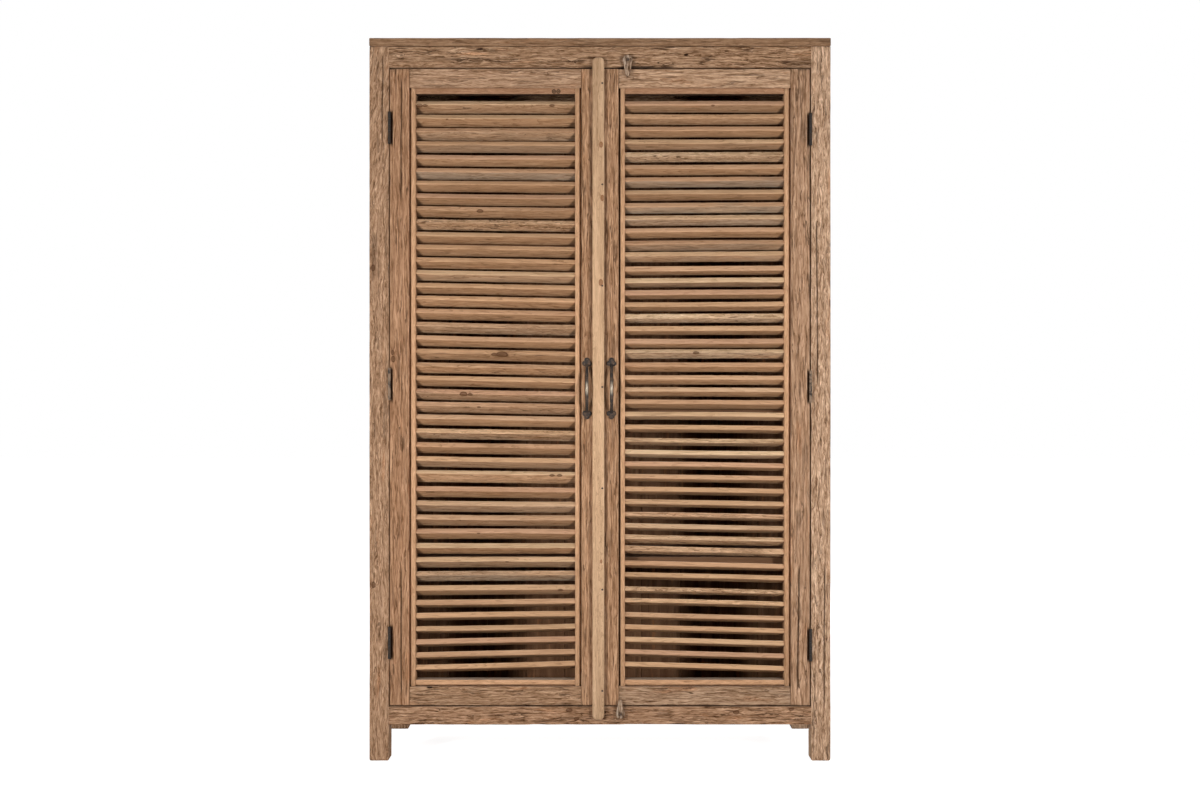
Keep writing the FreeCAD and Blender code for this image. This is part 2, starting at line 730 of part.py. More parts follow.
def meeting_stile(side):
    """The stile beside the other door, drilled for the pull and, on the right, for the strip's nails."""
    stile = box(side * DOOR_INNER, side * PANEL_INNER, FRONT, DOOR_BACK, DOOR_BOTTOM, DOOR_TOP)
    cutters = [door_tenon(side, PANEL_INNER, -1, level, JOINT_EASE) for level in DOOR_RAIL_LEVELS.values()]
    cutters += [tack(point, HOLE_EASE) for point in tack_points(side)]
    if side > 0:
        cutters += [strip_nail(z, HOLE_EASE) for z in strip_nail_heights()]
    return cut(stile, cutters)


def meeting_strip():
    """The rounded strip that covers the gap between the doors and stops them against the rails."""
    right = STRIP_LEFT + STRIP_WIDE
    front, back = FRONT - STRIP_THICK, FRONT - STRIP_CLEAR
    body = box(STRIP_LEFT, right, front, back, STRIP_BOTTOM, STRIP_TOP)
    corners = [e for e in body.Edges if e.BoundBox.YLength > 1]
    body = body.makeFillet(STRIP_CORNER, corners)
    front_edges = [e for e in body.Edges if e.BoundBox.YMax < front + 0.1]
    body = body.makeFillet(STRIP_EDGE, front_edges)
    margin = STRIP_SEAT_MARGIN
    low, high = DOOR_BOTTOM + margin, DOOR_TOP - margin
    seat = box(DOOR_INNER + margin, right - margin, back - margin, FRONT, low, high)
    nails = [strip_nail(z, HOLE_EASE) for z in strip_nail_heights()]
    return cut(fuse(body, [seat]), nails)


# ---------------------------------------------------------------- pulls
def tack_points(side):
    """Where a pull's six tacks go through its plates."""
    x = side * HANDLE_OFFSETS[side]
    across, along = PLATE_SIDE_LOBE
    places = [(-across, along), (across, along), (0, PLATE_TIP_LOBE)]
    return [
        Vector(x + dx, FRONT - PLATE_THICK, HANDLE_HEIGHT + end * dz)
        for end in (-1, 1)
        for dx, dz in places
    ]


def pull(side):
    """A cast pull: a round bow between two plates of three lobes each."""
    x = side * HANDLE_OFFSETS[side]
    out = Vector(0, -1, 0)
    across, along = PLATE_SIDE_LOBE
    lobes = []
    for end in (-1, 1):
        centres = [
            Vector(x + dx, FRONT, HANDLE_HEIGHT + end * dz)
            for dx, dz in ((-across, along), (across, along), (0, PLATE_TIP_LOBE))
        ]
        lobes += [cylinder(PLATE_LOBE, centre, out, PLATE_THICK) for centre in centres]
        web = Part.Face(Part.makePolygon(centres + centres[:1])).extrude(out * PLATE_THICK)
        lobes.append(web)
    rise = HANDLE_REACH - BOW_RADIUS + BOW_ROOT_DEPTH
    radius = (BOW_ROOT**2 + rise**2) / (2 * rise)
    half_angle = math.degrees(math.asin(BOW_ROOT / radius))
    centre = Vector(x, FRONT - HANDLE_REACH + BOW_RADIUS + radius, HANDLE_HEIGHT)
    axis = Vector(1, 0, 0)
    bow = Part.makeTorus(radius, BOW_RADIUS, centre, axis, 0, 360, 2 * half_angle)
    bow.rotate(centre, axis, 90 - half_angle)
    low, high = HANDLE_HEIGHT - 2 * BOW_ROOT, HANDLE_HEIGHT + 2 * BOW_ROOT
    behind = box(x - BOW_ROOT, x + BOW_ROOT, FRONT, FRONT + BOW_ROOT, low, high)
    casting = fuse(cut(bow, [behind]), lobes)
    return cut(casting, [tack(point + out, HOLE_EASE) for point in tack_points(side)])


# ---------------------------------------------------------------- turn buttons
def turn_button(pivot_x, pivot_z, head, tip, reach, way):
    """A pear-shaped wooden button with its pivot hole in the round head."""
    lean = math.asin((head - tip) / reach)
    tangent = Vector(math.cos(lean), 0, way * math.sin(lean))
    across = Vector(-tangent.x, 0, tangent.z)
    top = Vector(pivot_x, BUTTON_BACK, pivot_z)
    end = top + Vector(0, 0, way * reach)
    away = Vector(0, 0, way)
    out = Vector(0, -1, 0)
    outline = Part.Wire(
        [
            Part.Arc(top + tangent * head, top - away * head, top + across * head).toShape(),
            Part.makeLine(top + across * head, end + across * tip),
            Part.Arc(end + across * tip, end + away * tip, end + tangent * tip).toShape(),
            Part.makeLine(end + tangent * tip, top + tangent * head),
        ]
    )
    body = Part.Face(outline).extrude(out * BUTTON_THICK)
    hole = cylinder(
        BUTTON_PIVOT_RADIUS + BUTTON_PIVOT_EASE, top - out, out, BUTTON_THICK + 2
    )
    return cut(body, [hole])


def button_screw(pivot_x, pivot_z, ease=0.0):
    """The round-headed screw that a turn button pivots on."""
    inward = Vector(0, 1, 0)
    head_back = Vector(pivot_x, BUTTON_FRONT - BUTTON_SCREW_CLEAR, pivot_z)
    shank = cylinder(BUTTON_PIVOT_RADIUS + ease, head_back, inward, BUTTON_SCREW_LONG + ease)
    if ease:
        return shank
    head = Part.makeCone(
        BUTTON_SCREW_HEAD, BUTTON_SCREW_HEAD / 2, BUTTON_SCREW_HEAD_HIGH, head_back, -inward
    )
    front = head_back.y - BUTTON_SCREW_HEAD_HIGH
    half = BUTTON_SCREW_SLOT / 2
    left, right = pivot_x - BUTTON_SCREW_HEAD, pivot_x + BUTTON_SCREW_HEAD
    slot = box(left, right, front - 1, front + BUTTON_SCREW_SLOT, pivot_z - half, pivot_z + half)
    return cut(fuse(head, [shank]), [slot])


def front_rail(level):
    """A front rail, drilled for the turn button that sits on it."""
    z0, z1 = level
    pilots = [button_screw(x, z, HOLE_EASE) for x, z, *_ in BUTTONS.values() if z0 < z < z1]
    return cut(cross_rail(True, level), pilots)


# ---------------------------------------------------------------- all the nodes
def carcase_nodes():
    """The pieces that stand still."""
    bottom, top = RAIL_LEVELS
    nodes = {
        "front_bottom_rail": front_rail(bottom),
        "front_top_rail": front_rail(top),
        "back_bottom_rail": cross_rail(False, bottom),
        "back_top_rail": cross_rail(False, top),
        "back_planks": back_planks(),
        "top_planks": top_boards(),
        "floor_planks": floor_boards(),
    }
    for name, underside in zip(("lower", "middle", "upper"), SHELF_UNDERSIDES):
        nodes["shelf_" + name] = shelf_boards(underside)
    for word, side in (("left", -1), ("right", 1)):
        nodes["post_front_" + word] = post(side, True)
        nodes["post_back_" + word] = post(side, False)
        nodes["side_bottom_rail_" + word] = side_rail(side, bottom)
        nodes["side_top_rail_" + word] = side_rail(side, top)
        nodes["side_planks_" + word] = side_planks(side)
        nodes["cleats_" + word] = cleats(side)
        nodes["hinge_post_leaves_" + word] = [hinge_leaf(side, z, True) for z in HINGE_HEIGHTS[side]]
        nodes["hinge_pins_" + word] = [hinge_pin(side, z) for z in HINGE_HEIGHTS[side]]
        nodes["hinge_post_screws_" + word] = hinge_screws(side, True)
    return nodes


def door_nodes():
    """The pieces of both doors."""
    nodes = {
        "meeting_strip": meeting_strip(),
        "meeting_strip_nails": [strip_nail(z) for z in strip_nail_heights()],
    }
    for word, side, runs, slat_wide in (
        ("left", -1, LEFT_LOUVRE, LEFT_SLAT_WIDE), ("right", 1, RIGHT_LOUVRE, RIGHT_SLAT_WIDE),
    ):
        louvre = Louvre(side, runs, slat_wide)
        nodes[word + "_hinge_stile"] = hinge_stile(side)
        nodes[word + "_meeting_stile"] = meeting_stile(side)
        for end, level in DOOR_RAIL_LEVELS.items():
            nodes[word + "_door_" + end + "_rail"] = door_rail(side, level)
        nodes[word + "_louvre_hinge_strip"] = louvre.hinge_strip()
        nodes[word + "_louvre_meeting_strip"] = louvre.meeting_side_strip()
        nodes[word + "_louvre_head_strip"] = louvre.head_strip()
        nodes[word + "_louvre_sill_strip"] = louvre.sill_strip()
        nodes[word + "_slats"] = louvre.slats()
        nodes[word + "_handle"] = pull(side)
        nodes[word + "_handle_tacks"] = [tack(point) for point in tack_points(side)]
        nodes["hinge_door_leaves_" + word] = [hinge_leaf(side, z, False) for z in HINGE_HEIGHTS[side]]
        nodes["hinge_door_screws_" + word] = hinge_screws(side, False)
    return nodes


def button_nodes():
    """The turn buttons and the screws that they pivot on."""
    nodes = {}
    for name, sizes in BUTTONS.items():
        nodes[name] = turn_button(*sizes)
        nodes[name + "_screw"] = button_screw(sizes[0], sizes[1])
    return nodes


os.makedirs("parts", exist_ok=True)
for node_name, node_solids in {**carcase_nodes(), **door_nodes(), **button_nodes()}.items():
    export(node_name, node_solids)
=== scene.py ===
"""The looks of a tall cupboard with a pair of louvred doors, in reclaimed teak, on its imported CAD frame.

Every piece of timber is sawn, worn and cracked in its own frame, with x along its grain, and then laid
in its place. Lengths are in metres. The cupboard stands on z = 0 with its doors towards -Y.
"""

import itertools
import logging
import math
import random
from dataclasses import dataclass, field, replace
from enum import Enum

import bmesh
import bpy
import numpy as np
from bmesh.types import BMEdge, BMesh, BMVert
from bpy.types import Material, Mesh, Node, NodeSocket, NodeTree
from mathutils import Matrix, Vector


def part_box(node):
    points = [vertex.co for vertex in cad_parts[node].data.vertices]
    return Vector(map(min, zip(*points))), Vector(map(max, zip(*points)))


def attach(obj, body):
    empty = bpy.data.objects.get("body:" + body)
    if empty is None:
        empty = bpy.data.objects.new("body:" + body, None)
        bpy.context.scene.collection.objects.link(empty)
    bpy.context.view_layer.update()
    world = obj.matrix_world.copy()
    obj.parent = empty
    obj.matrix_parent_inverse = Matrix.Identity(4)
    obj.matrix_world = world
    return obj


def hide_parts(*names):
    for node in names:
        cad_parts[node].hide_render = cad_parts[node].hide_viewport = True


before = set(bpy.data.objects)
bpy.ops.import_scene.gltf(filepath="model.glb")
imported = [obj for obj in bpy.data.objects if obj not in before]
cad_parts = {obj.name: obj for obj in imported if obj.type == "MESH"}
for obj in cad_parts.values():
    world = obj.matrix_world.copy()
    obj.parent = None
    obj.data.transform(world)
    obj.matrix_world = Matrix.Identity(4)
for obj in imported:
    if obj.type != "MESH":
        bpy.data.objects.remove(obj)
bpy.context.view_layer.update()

log = logging.getLogger("cupboard")

MM = 0.001
Triple = tuple[float, float, float]
Colour = Triple
Array = np.ndarray
X, Y, Z = Vector((1, 0, 0)), Vector((0, 1, 0)), Vector((0, 0, 1))


def mm(*lengths: float) -> tuple[float, ...]:
    """Lengths that are given in millimetres."""
    return tuple(length * MM for length in lengths)


# ---------------------------------------------------------------- colours
def screen(red: int, green: int, blue: int) -> Colour:
    """A colour as a screen shows it, 0 to 255, in the linear values that shaders take."""
    return tuple(
        v / 12.92 if v <= 0.04045 else ((v + 0.055) / 1.055) ** 2.4
        for v in (red / 255, green / 255, blue / 255)
    )


def between(first: Colour, second: Colour, share: float) -> Colour:
    """The colour a share of the way from the first to the second."""
    return tuple(a + (b - a) * share for a, b in zip(first, second))


class Tone(Enum):
    """The colours of the bare timbers."""

    POST_LEFT = screen(163, 127, 98)
    POST_RIGHT = screen(181, 146, 117)
    TOP_RAIL = screen(154, 119, 90)
    TOP_BOARD = screen(154, 118, 88)
    BOTTOM_RAIL = screen(155, 118, 89)
    HINGE_STILE_LEFT = screen(162, 121, 90)
    HINGE_STILE_RIGHT = screen(168, 131, 102)
    MEETING_STILE = screen(167, 127, 95)
    DOOR_TOP_LEFT = screen(170, 134, 105)
    DOOR_TOP_RIGHT = screen(178, 142, 112)
    DOOR_BOTTOM_LEFT = screen(156, 121, 92)
    DOOR_BOTTOM_RIGHT = screen(156, 124, 97)
    LOUVRE_STRIP = screen(197, 152, 115)
    HEAD_STRIP = screen(160, 119, 89)
    MEETING_STRIP = screen(201, 163, 127)
    SLAT_EDGE_WARM = screen(193, 151, 114)
    SLAT_EDGE_PALE = screen(201, 168, 132)
    # the slats' faces, darker than their front edges: partly weathered wood, partly painted shade
    SLAT_FACE_BROWN = screen(159, 121, 88)
    SLAT_FACE_GREY = screen(152, 125, 100)
    SIDE_PLANK = screen(160, 126, 99)
    INNER = screen(104, 74, 52)
    BACK = screen(118, 84, 59)
    BUTTON = screen(166, 138, 114)
    PALE = screen(196, 163, 128)
    SLAT_EDGE_PINK = screen(188, 146, 115)
    DUST_AND_TOP_LIGHT = screen(186, 166, 146)
    # painted shadow in the gap over the doors
    PAINTED_GAP_SHADOW = screen(40, 26, 18)
    # painted shadow beside the meeting strip
    PAINTED_STRIP_SHADOW = screen(74, 50, 35)


# ---------------------------------------------------------------- shaders
class Channel:
    """One number of a shader, on which Python's operators work."""

    def __init__(self, work: "Tree", socket: NodeSocket) -> None:
        """Wraps an output socket of a node tree."""
        self.work = work
        self.socket = socket

    def _maths(self, operation: str, *values: "Channel | NodeSocket | float") -> "Channel":
        """A Math node on these values."""
        made = self.work.node("ShaderNodeMath", {"operation": operation}, dict(enumerate(values)))
        return Channel(self.work, made.outputs[0])

    def __add__(self, other: "Channel | float") -> "Channel":
        """Self plus other."""
        return self._maths("ADD", self, other)

    __radd__ = __add__

    def __sub__(self, other: "Channel | float") -> "Channel":
        """Self less other."""
        return self._maths("SUBTRACT", self, other)

    def __rsub__(self, other: "Channel | float") -> "Channel":
        """Other less self."""
        return self._maths("SUBTRACT", other, self)

    def __mul__(self, other: "Channel | NodeSocket | float") -> "Channel":
        """Self times other."""
        return self._maths("MULTIPLY", self, other)

    __rmul__ = __mul__

    def fraction(self) -> "Channel":
        """What is left of it above a whole number."""
        return self._maths("FRACT", self)

    def size(self) -> "Channel":
        """It without its sign."""
        return self._maths("ABSOLUTE", self)

    def power(self, exponent: float) -> "Channel":
        """It raised to a power."""
        return self._maths("POWER", self, exponent)

    def line(self, middle: float, wide: float) -> "Channel":
        """1 where it passes a value and 0 further off, which draws a thin line."""
        return (self - middle).size().step(wide, wide * 0.25)

    def larger(self, other: "Channel | NodeSocket | float") -> "Channel":
        """The larger of the two."""
        return self._maths("MAXIMUM", self, other)

    def step(self, low: float, high: float) -> "Channel":
        """0 below low and 1 above high, smoothly between. With low above high it falls instead."""
        made = self.work.node(
            "ShaderNodeMapRange",
            {"interpolation_type": "SMOOTHSTEP"},
            {"Value": self, "From Min": low, "From Max": high},
        )
        return Channel(self.work, made.outputs[0])


class Tree:
    """A node tree while it is being laid."""

    def __init__(self, tree: NodeTree) -> None:
        """Starts with no nodes."""
        self.tree = tree
        tree.nodes.clear()

    def feed(self, socket: NodeSocket, value: object) -> None:
        """Links a socket or a channel to an input, or sets the input's own value."""
        if isinstance(value, Channel):
            value = value.socket
        if isinstance(value, NodeSocket):
            self.tree.links.new(value, socket)
        elif socket.type == "RGBA":
            socket.default_value = (*value, 1.0)
        else:
            socket.default_value = value

    def node(self, kind: str, settings: dict, inputs: dict) -> Node:
        """Adds a node.

        Args:
            kind: the node's type.
            settings: its own settings, which are made first.
            inputs: values, sockets or channels by the input's name or number.

        Returns:
            The new node.
        """
        made = self.tree.nodes.new(kind)
        for key, value in settings.items():
            setattr(made, key, value)
        for key, value in inputs.items():
            self.feed(made.inputs[key], value)
        return made

    def any_ray(self, *kinds: str) -> Channel:
        """1 for any of these kinds of ray."""
        path = self.node("ShaderNodeLightPath", {}, {})
        found = Channel(self, path.outputs[kinds[0]])
        for kind in kinds[1:]:
            found = found.larger(path.outputs[kind])
        return found


class Dressing(Tree):
    """A material while its nodes are being laid."""

    def __init__(self, name: str) -> None:
        """Starts with a Principled shader on the output."""
        self.material = bpy.data.materials.new(name)
        self.material.use_nodes = True
        super().__init__(self.material.node_tree)
        self.shader = self.node("ShaderNodeBsdfPrincipled", {}, {})
        self.node("ShaderNodeOutputMaterial", {}, {"Surface": self.shader.outputs[0]})

    def attribute(self, name: str) -> NodeSocket:
        """A vector attribute of the mesh."""
        return self.node("ShaderNodeAttribute", {"attribute_name": name}, {}).outputs["Vector"]

    def split(self, vector: NodeSocket) -> list[Channel]:
        """The three numbers of a vector."""
        made = self.node("ShaderNodeSeparateXYZ", {}, {0: vector})
        return [Channel(self, s) for s in made.outputs]

    def vector(self, operation: str, *values: object) -> NodeSocket:
        """A Vector Math node's vector."""
        made = self.node("ShaderNodeVectorMath", {"operation": operation}, dict(enumerate(values)))
        return made.outputs[0]

    def noise(
        self,
        place: NodeSocket,
        stretch: Triple,
        detail: float = 2.0,
        shift: float = 0.0,
        distortion: float = 0.0,
    ) -> Channel:
        """Soft noise, 0 to 1.

        Args:
            place: the point's place, in metres.
            stretch: cycles per metre along each axis.
            detail: octaves of finer noise.
            shift: moves the pattern, so that two with the same stretch differ.
            distortion: how much the pattern curls.

        Returns:
            The noise's value.
        """
        made = self.node(
            "ShaderNodeTexNoise",
            {},
            {
                "Vector": self.vector("MULTIPLY_ADD", place, stretch, (shift, shift, shift)),
                "Scale": 1.0,
                "Detail": detail,
                "Roughness": 0.6,
                "Distortion": distortion,
            },
        )
        return Channel(self, made.outputs[0])

    def mix(self, share: Channel | float, first: object, second: object) -> NodeSocket:
        """A colour between two, by a share of the second."""
        made = self.node("ShaderNodeMix", {"data_type": "RGBA"}, {0: share, 6: first, 7: second})
        return made.outputs[2]

    def lit(self, colour: object, light: Channel) -> NodeSocket:
        """A colour made lighter or darker by a factor."""
        return self.node(
            "ShaderNodeVectorMath", {"operation": "SCALE"}, {0: colour, "Scale": light}
        ).outputs[0]

    def browned(self, colour: object, light: Channel) -> NodeSocket:
        """A colour made lighter or darker by a factor, and the darker the browner, as wood does."""
        powers = {"X": light, "Y": light.power(1.18), "Z": light.power(1.38)}
        return self.vector("MULTIPLY", colour, self.node("ShaderNodeCombineXYZ", {}, powers).outputs[0])

    def bump(self, height: Channel, distance: float) -> None:
        """Puts a fine relief of this height, 0 to 1 for the distance in metres, on the surface."""
        made = self.node("ShaderNodeBump", {}, {"Strength": 1.0, "Distance": distance, "Height": height})
        self.feed(self.shader.inputs["Normal"], made.outputs[0])


@dataclass(frozen=True)
class WoodFinish:
    """Bare wood. It reads the attributes that every timber's mesh carries.

    grain is the place in the log, and tint the colour. marks holds how dark the painted shade in a crack,
    hole or fissure is, how near a knot is, and how freshly planed the surface is. habit holds how crinkled
    the grain is, how strong its contrast is, and how much of it has gone grey.
    """

    name: str
    streaks: float = 1.05  # contrast of the long streaks, which are a few millimetres wide
    ripple: float = 0.95  # contrast of the short ones
    bands: float = 0.20  # contrast of the broad bands
    rings: float = 0.34  # how dark the lines of the growth rings are
    checks: float = 0.62  # how dark the painted shade in the drying checks is
    fibre_highlights: float = 0.30  # how light the painted highlights on the raised fibres are
    rust: float = 0.30  # how strong the orange patches are
    relief: float = 0.0016
    roughness: float = 0.84
    grey: Colour = screen(150, 134, 116)
    orange: Colour = screen(178, 116, 72)
    shade: Colour = screen(54, 33, 19)
    knot: Colour = screen(84, 52, 31)

    def dress(self) -> Material:
        """Lays the nodes and returns the material."""
        w = Dressing(self.name)
        grain, tint = w.attribute("grain"), w.attribute("tint")
        crack, knot, planed = w.split(w.attribute("marks"))
        crinkle, contrast, aged = w.split(w.attribute("habit"))
        worn = 1 - planed * 0.6
        stray = (w.noise(grain, (6, 26, 26), 2.0) - 0.5) * 0.012
        curl = (w.noise(grain, (22, 55, 55), 1.0, 3.0) - 0.5) * 0.008 * crinkle
        crimp = (w.noise(grain, (75, 130, 130), 1.0, 5.0) - 0.5) * 0.0036 * crinkle
        aside = w.node("ShaderNodeCombineXYZ", {}, {"Y": stray + curl + crimp, "Z": stray - curl + crimp})
        bent = w.vector("ADD", grain, aside.outputs[0])
        bands = w.noise(bent, (1.6, 40, 40), 2.0, 1.0)
        streaks = w.noise(bent, (12, 240, 240), 2.0, 2.0)
        ripple = w.noise(bent, (42, 330, 330), 2.0, 4.0)
        figure = w.noise(bent, (1.7, 30, 30), 2.0, 11.0, 0.3)
        growth = (figure * 19.0).fraction()
        late = growth.step(0.55, 0.98) * (0.25 + 1.3 * w.noise(bent, (11, 70, 70), 1.0, 12.0))
        fades = w.noise(grain, (13, 50, 50), 1.0, 15.0).step(0.42, 0.60)
        checks = w.noise(bent, (5, 105, 105), 1.0, 14.0).line(0.5, 0.035) * fades * worn
        # painted highlights along the raised fibres
        fibre_highlights = w.noise(bent, (13, 150, 150), 1.0, 18.0).line(0.5, 0.05) * fades * worn
        patches = w.noise(bent, (5, 36, 36), 3.0, 6.0)
        rust = w.noise(bent, (7, 48, 48), 3.0, 8.0).step(0.58, 0.74) * self.rust * worn
        vary = (
            (bands - 0.5) * (2 * self.bands)
            + (streaks - 0.5) * (2 * self.streaks) * worn
            + (ripple - 0.5) * (2 * self.ripple) * worn * crinkle
            + (0.30 - late) * self.rings
            + (fibre_highlights - 0.15) * self.fibre_highlights
        )
        colour = w.mix(aged * patches.step(0.30, 0.62), tint, self.grey)
        colour = w.mix(rust, colour, self.orange)
        colour = w.browned(colour, (1 + vary * contrast).larger(0.12))
        dark = (checks * contrast * self.checks).larger(crack)
        colour = w.mix(dark.step(0.02, 1.0), colour, self.shade)
        rings = w.noise(bent, (160, 520, 520), 1.0, 9.0)
        eye = knot.line(0.45, 0.22)
        colour = w.mix((knot.step(0.05, 0.75) * (0.45 + 0.5 * rings)).larger(eye * 0.9), colour, self.knot)
        w.feed(w.shader.inputs["Base Color"], colour)
        w.feed(w.shader.inputs["Roughness"], self.roughness - 0.1 * streaks + 0.06 * checks)
        w.shader.inputs["Specular IOR Level"].default_value = 0.14
        height = streaks * 0.5 + ripple * crinkle * 0.45 - checks * 0.4 - late * 0.25
        w.bump(height * worn, self.relief)
        return w.material


@dataclass(frozen=True)
class IronFinish:
    """Forged iron, blackened and rusted. Where the attribute marks says so, it is worn bright,
    which is partly bare metal and partly a painted highlight.
    """

    name: str
    black: Colour = screen(58, 49, 43)
    rust: Colour = screen(92, 64, 46)
    # worn bright metal, partly a painted highlight
    bright: Colour = screen(128, 117, 103)
    relief: float = 0.0004
    metal: float = 0.75
    shine: float = 0.5
    reads_marks: bool = False
    bare_at: float = 0.0  # the height round which the iron is rusted bare, if any
    bare: Colour = screen(140, 117, 97)

    def dress(self) -> Material:
        """Lays the nodes and returns the material."""
        w = Dressing(self.name)
        place = w.node("ShaderNodeTexCoord", {}, {}).outputs["Object"]
        scale = w.noise(place, (240, 240, 240), 3.0)
        spots = w.noise(place, (90, 90, 90), 3.0, 4.0)
        pits = w.noise(place, (900, 900, 900), 2.0, 7.0)
        rusty = spots.step(0.46, 0.64)
        colour = w.mix(rusty * 0.7, self.black, self.rust)
        colour = w.lit(colour, 0.55 + 0.9 * scale)
        rough = 0.50 + 0.25 * rusty
        metal = self.metal * (1 - 0.6 * rusty)
        if self.reads_marks:
            # the bright patch: worn metal, and partly a painted highlight
            worn_and_highlight = w.split(w.attribute("marks"))[0]
            worn_and_highlight = (worn_and_highlight + (scale - 0.5) * 0.5 * worn_and_highlight).step(0.1, 0.9)
            colour = w.mix(worn_and_highlight, colour, self.bright)
            rough = rough - worn_and_highlight * 0.18
            metal = metal.larger(worn_and_highlight * 0.85)
        if self.bare_at:
            height = w.split(place)[2]
            there = (height - self.bare_at).size().step(0.08, 0.06)
            bare = there * spots.step(0.34, 0.60)
            colour = w.mix(bare, colour, self.bare)
            metal = metal * (1 - bare)
        w.shader.inputs["Specular IOR Level"].default_value = self.shine
        w.feed(w.shader.inputs["Base Color"], colour)
        w.feed(w.shader.inputs["Roughness"], rough)
        w.feed(w.shader.inputs["Metallic"], metal)
        w.bump(scale * 0.7 + pits * 0.3, self.relief)
        return w.material


class Finishes:
    """The materials by the record's slot, each made once."""

    LIST = (
        WoodFinish("weathered_wood"),
        WoodFinish(
            "slat_wood", streaks=0.52, ripple=0.48, bands=0.30, rings=0.28, checks=0.45, fibre_highlights=0.16,
            rust=0.20, relief=0.0006, roughness=0.74,
        ),
        WoodFinish(
            "louvre_strip_wood", streaks=0.42, ripple=0.45, bands=0.20, rings=0.16, checks=0.30, fibre_highlights=0.10,
            rust=0.10, relief=0.0005, roughness=0.68, knot=screen(44, 29, 20),
        ),
        WoodFinish(
            "meeting_strip_wood", streaks=0.30, ripple=0.10, bands=0.45, rings=0.24, checks=0.12, fibre_highlights=0.08,
            rust=0.10, relief=0.0003, roughness=0.66, knot=screen(132, 82, 48),
        ),
        WoodFinish(
            "inner_wood", streaks=0.14, ripple=0.08, bands=0.80, rings=0.10, checks=0.15, fibre_highlights=0.05,
            rust=0.40, relief=0.0005, roughness=0.86,
        ),
        WoodFinish(
            "button_wood", streaks=1.20, ripple=0.90, bands=0.20, rings=0.30, checks=0.70, fibre_highlights=0.50,
            rust=0.10, relief=0.0010, roughness=0.84,
        ),
        IronFinish(
            "handle_iron", black=screen(38, 31, 26), rust=screen(84, 62, 46), metal=0.5, reads_marks=True,
        ),
        IronFinish(
            "hinge_iron", black=screen(36, 31, 27), rust=screen(60, 46, 36), metal=0.0, shine=0.2,
            bare_at=0.977,
        ),
        IronFinish("fastener_iron", black=screen(66, 52, 42), rust=screen(104, 78, 58), metal=0.3),
    )

    def __init__(self) -> None:
        """Makes every material."""
        self.made = {finish.name: finish.dress() for finish in self.LIST}

    def __getitem__(self, slot: str) -> Material:
        """The material of a slot."""
        return self.made[slot]


# ---------------------------------------------------------------- noise on arrays of points
class LatticeNoise:
    """Smooth noise from -1 to 1 for whole arrays of points, the same on every run."""

    CELLS = 32

    def __init__(self, seed: int) -> None:
        """Fills the lattice."""
        self.table = np.random.default_rng(seed).uniform(-1, 1, (self.CELLS,) * 3)

    def __call__(self, points: Array, scale: Triple) -> Array:
        """The noise at each point, with this many cells per metre along each axis."""
        scaled = points * np.array(scale)
        cell = np.floor(scaled).astype(int)
        share = scaled - cell
        share = share * share * (3 - 2 * share)
        total = np.zeros(len(points))
        for corner in itertools.product((0, 1), repeat=3):
            weight = np.prod(np.where(corner, share, 1 - share), axis=1)
            index = (cell + corner) % self.CELLS
            total += weight * self.table[index[:, 0], index[:, 1], index[:, 2]]
        return total

    def share(self, points: Array, scale: Triple) -> Array:
        """The noise from 0 to 1."""
        return 0.5 + 0.5 * self(points, scale)


NOISE = LatticeNoise(7)
# how many cells a metre the noises of a timber's wear have, along the grain and across it
WAVES, FIBRES, FISSURES, CHIPS = (5, 11, 11), (26, 190, 190), (12, 170, 170), (40, 60, 60)


def smooth(value: Array, low: float, high: float) -> Array:
    """0 below low and 1 above high, smoothly between. With low above high it falls instead."""
    share = np.clip((value - low) / (high - low), 0, 1)
    return share * share * (3 - 2 * share)


def points_of(mesh: Mesh) -> tuple[Array, Array]:
    """The places and the normals of a mesh's vertices."""
    place = np.empty(3 * len(mesh.vertices), np.float32)
    normal = np.empty_like(place)
    mesh.vertices.foreach_get("co", place)
    mesh.vertex_normals.foreach_get("vector", normal)
    return place.reshape(-1, 3).astype(float), normal.reshape(-1, 3).astype(float)


def write_vectors(mesh: Mesh, name: str, values: Array) -> None:
    """Puts a vector attribute on a mesh's vertices."""
    layer = mesh.attributes.new(name, "FLOAT_VECTOR", "POINT")
    layer.data.foreach_set("vector", values.astype(np.float32).ravel())


def move_points(mesh: Mesh, place: Array) -> None:
    """Puts a mesh's vertices in new places."""
    mesh.vertices.foreach_set("co", place.astype(np.float32).ravel())


def to_mesh(shape: BMesh, name: str) -> Mesh:
    """Makes a mesh of a shape, and frees the shape."""
    made = bpy.data.meshes.new(name)
    shape.to_mesh(made)
    shape.free()
    return made


def cube(size: Vector) -> BMesh:
    """A block of this size round the origin."""
    shape = bmesh.new()
    bmesh.ops.create_cube(shape, size=1)
    bmesh.ops.scale(shape, vec=size, verts=shape.verts)
    return shape


def round_over(shape: BMesh, edges: list[BMEdge], offset: float, segments: int) -> None:
    """Rounds edges of a shape."""
    bmesh.ops.bevel(
        shape, geom=edges, offset=offset, offset_type="OFFSET", segments=segments, profile=0.5,
        affect="EDGES", material=-1,
    )


def slice_at(shape: BMesh, axis: int, level: float) -> None:
    """Cuts a shape's faces along a plane across an axis."""
    point, across = Vector(), Vector()
    point[axis], across[axis] = level, 1
    geometry = shape.verts[:] + shape.edges[:] + shape.faces[:]
    bmesh.ops.bisect_plane(shape, geom=geometry, dist=WELD, plane_co=point, plane_no=across)


def cut_grid(shape: BMesh, steps: dict[int, float]) -> None:
    """Cuts a grid into a shape's faces, in even steps of about these lengths along these axes."""
    for axis, step in steps.items():
        low = min(v.co[axis] for v in shape.verts)
        high = max(v.co[axis] for v in shape.verts)
        count = round((high - low) / step)
        for cut in range(1, count):
            slice_at(shape, axis, low + (high - low) * cut / count)


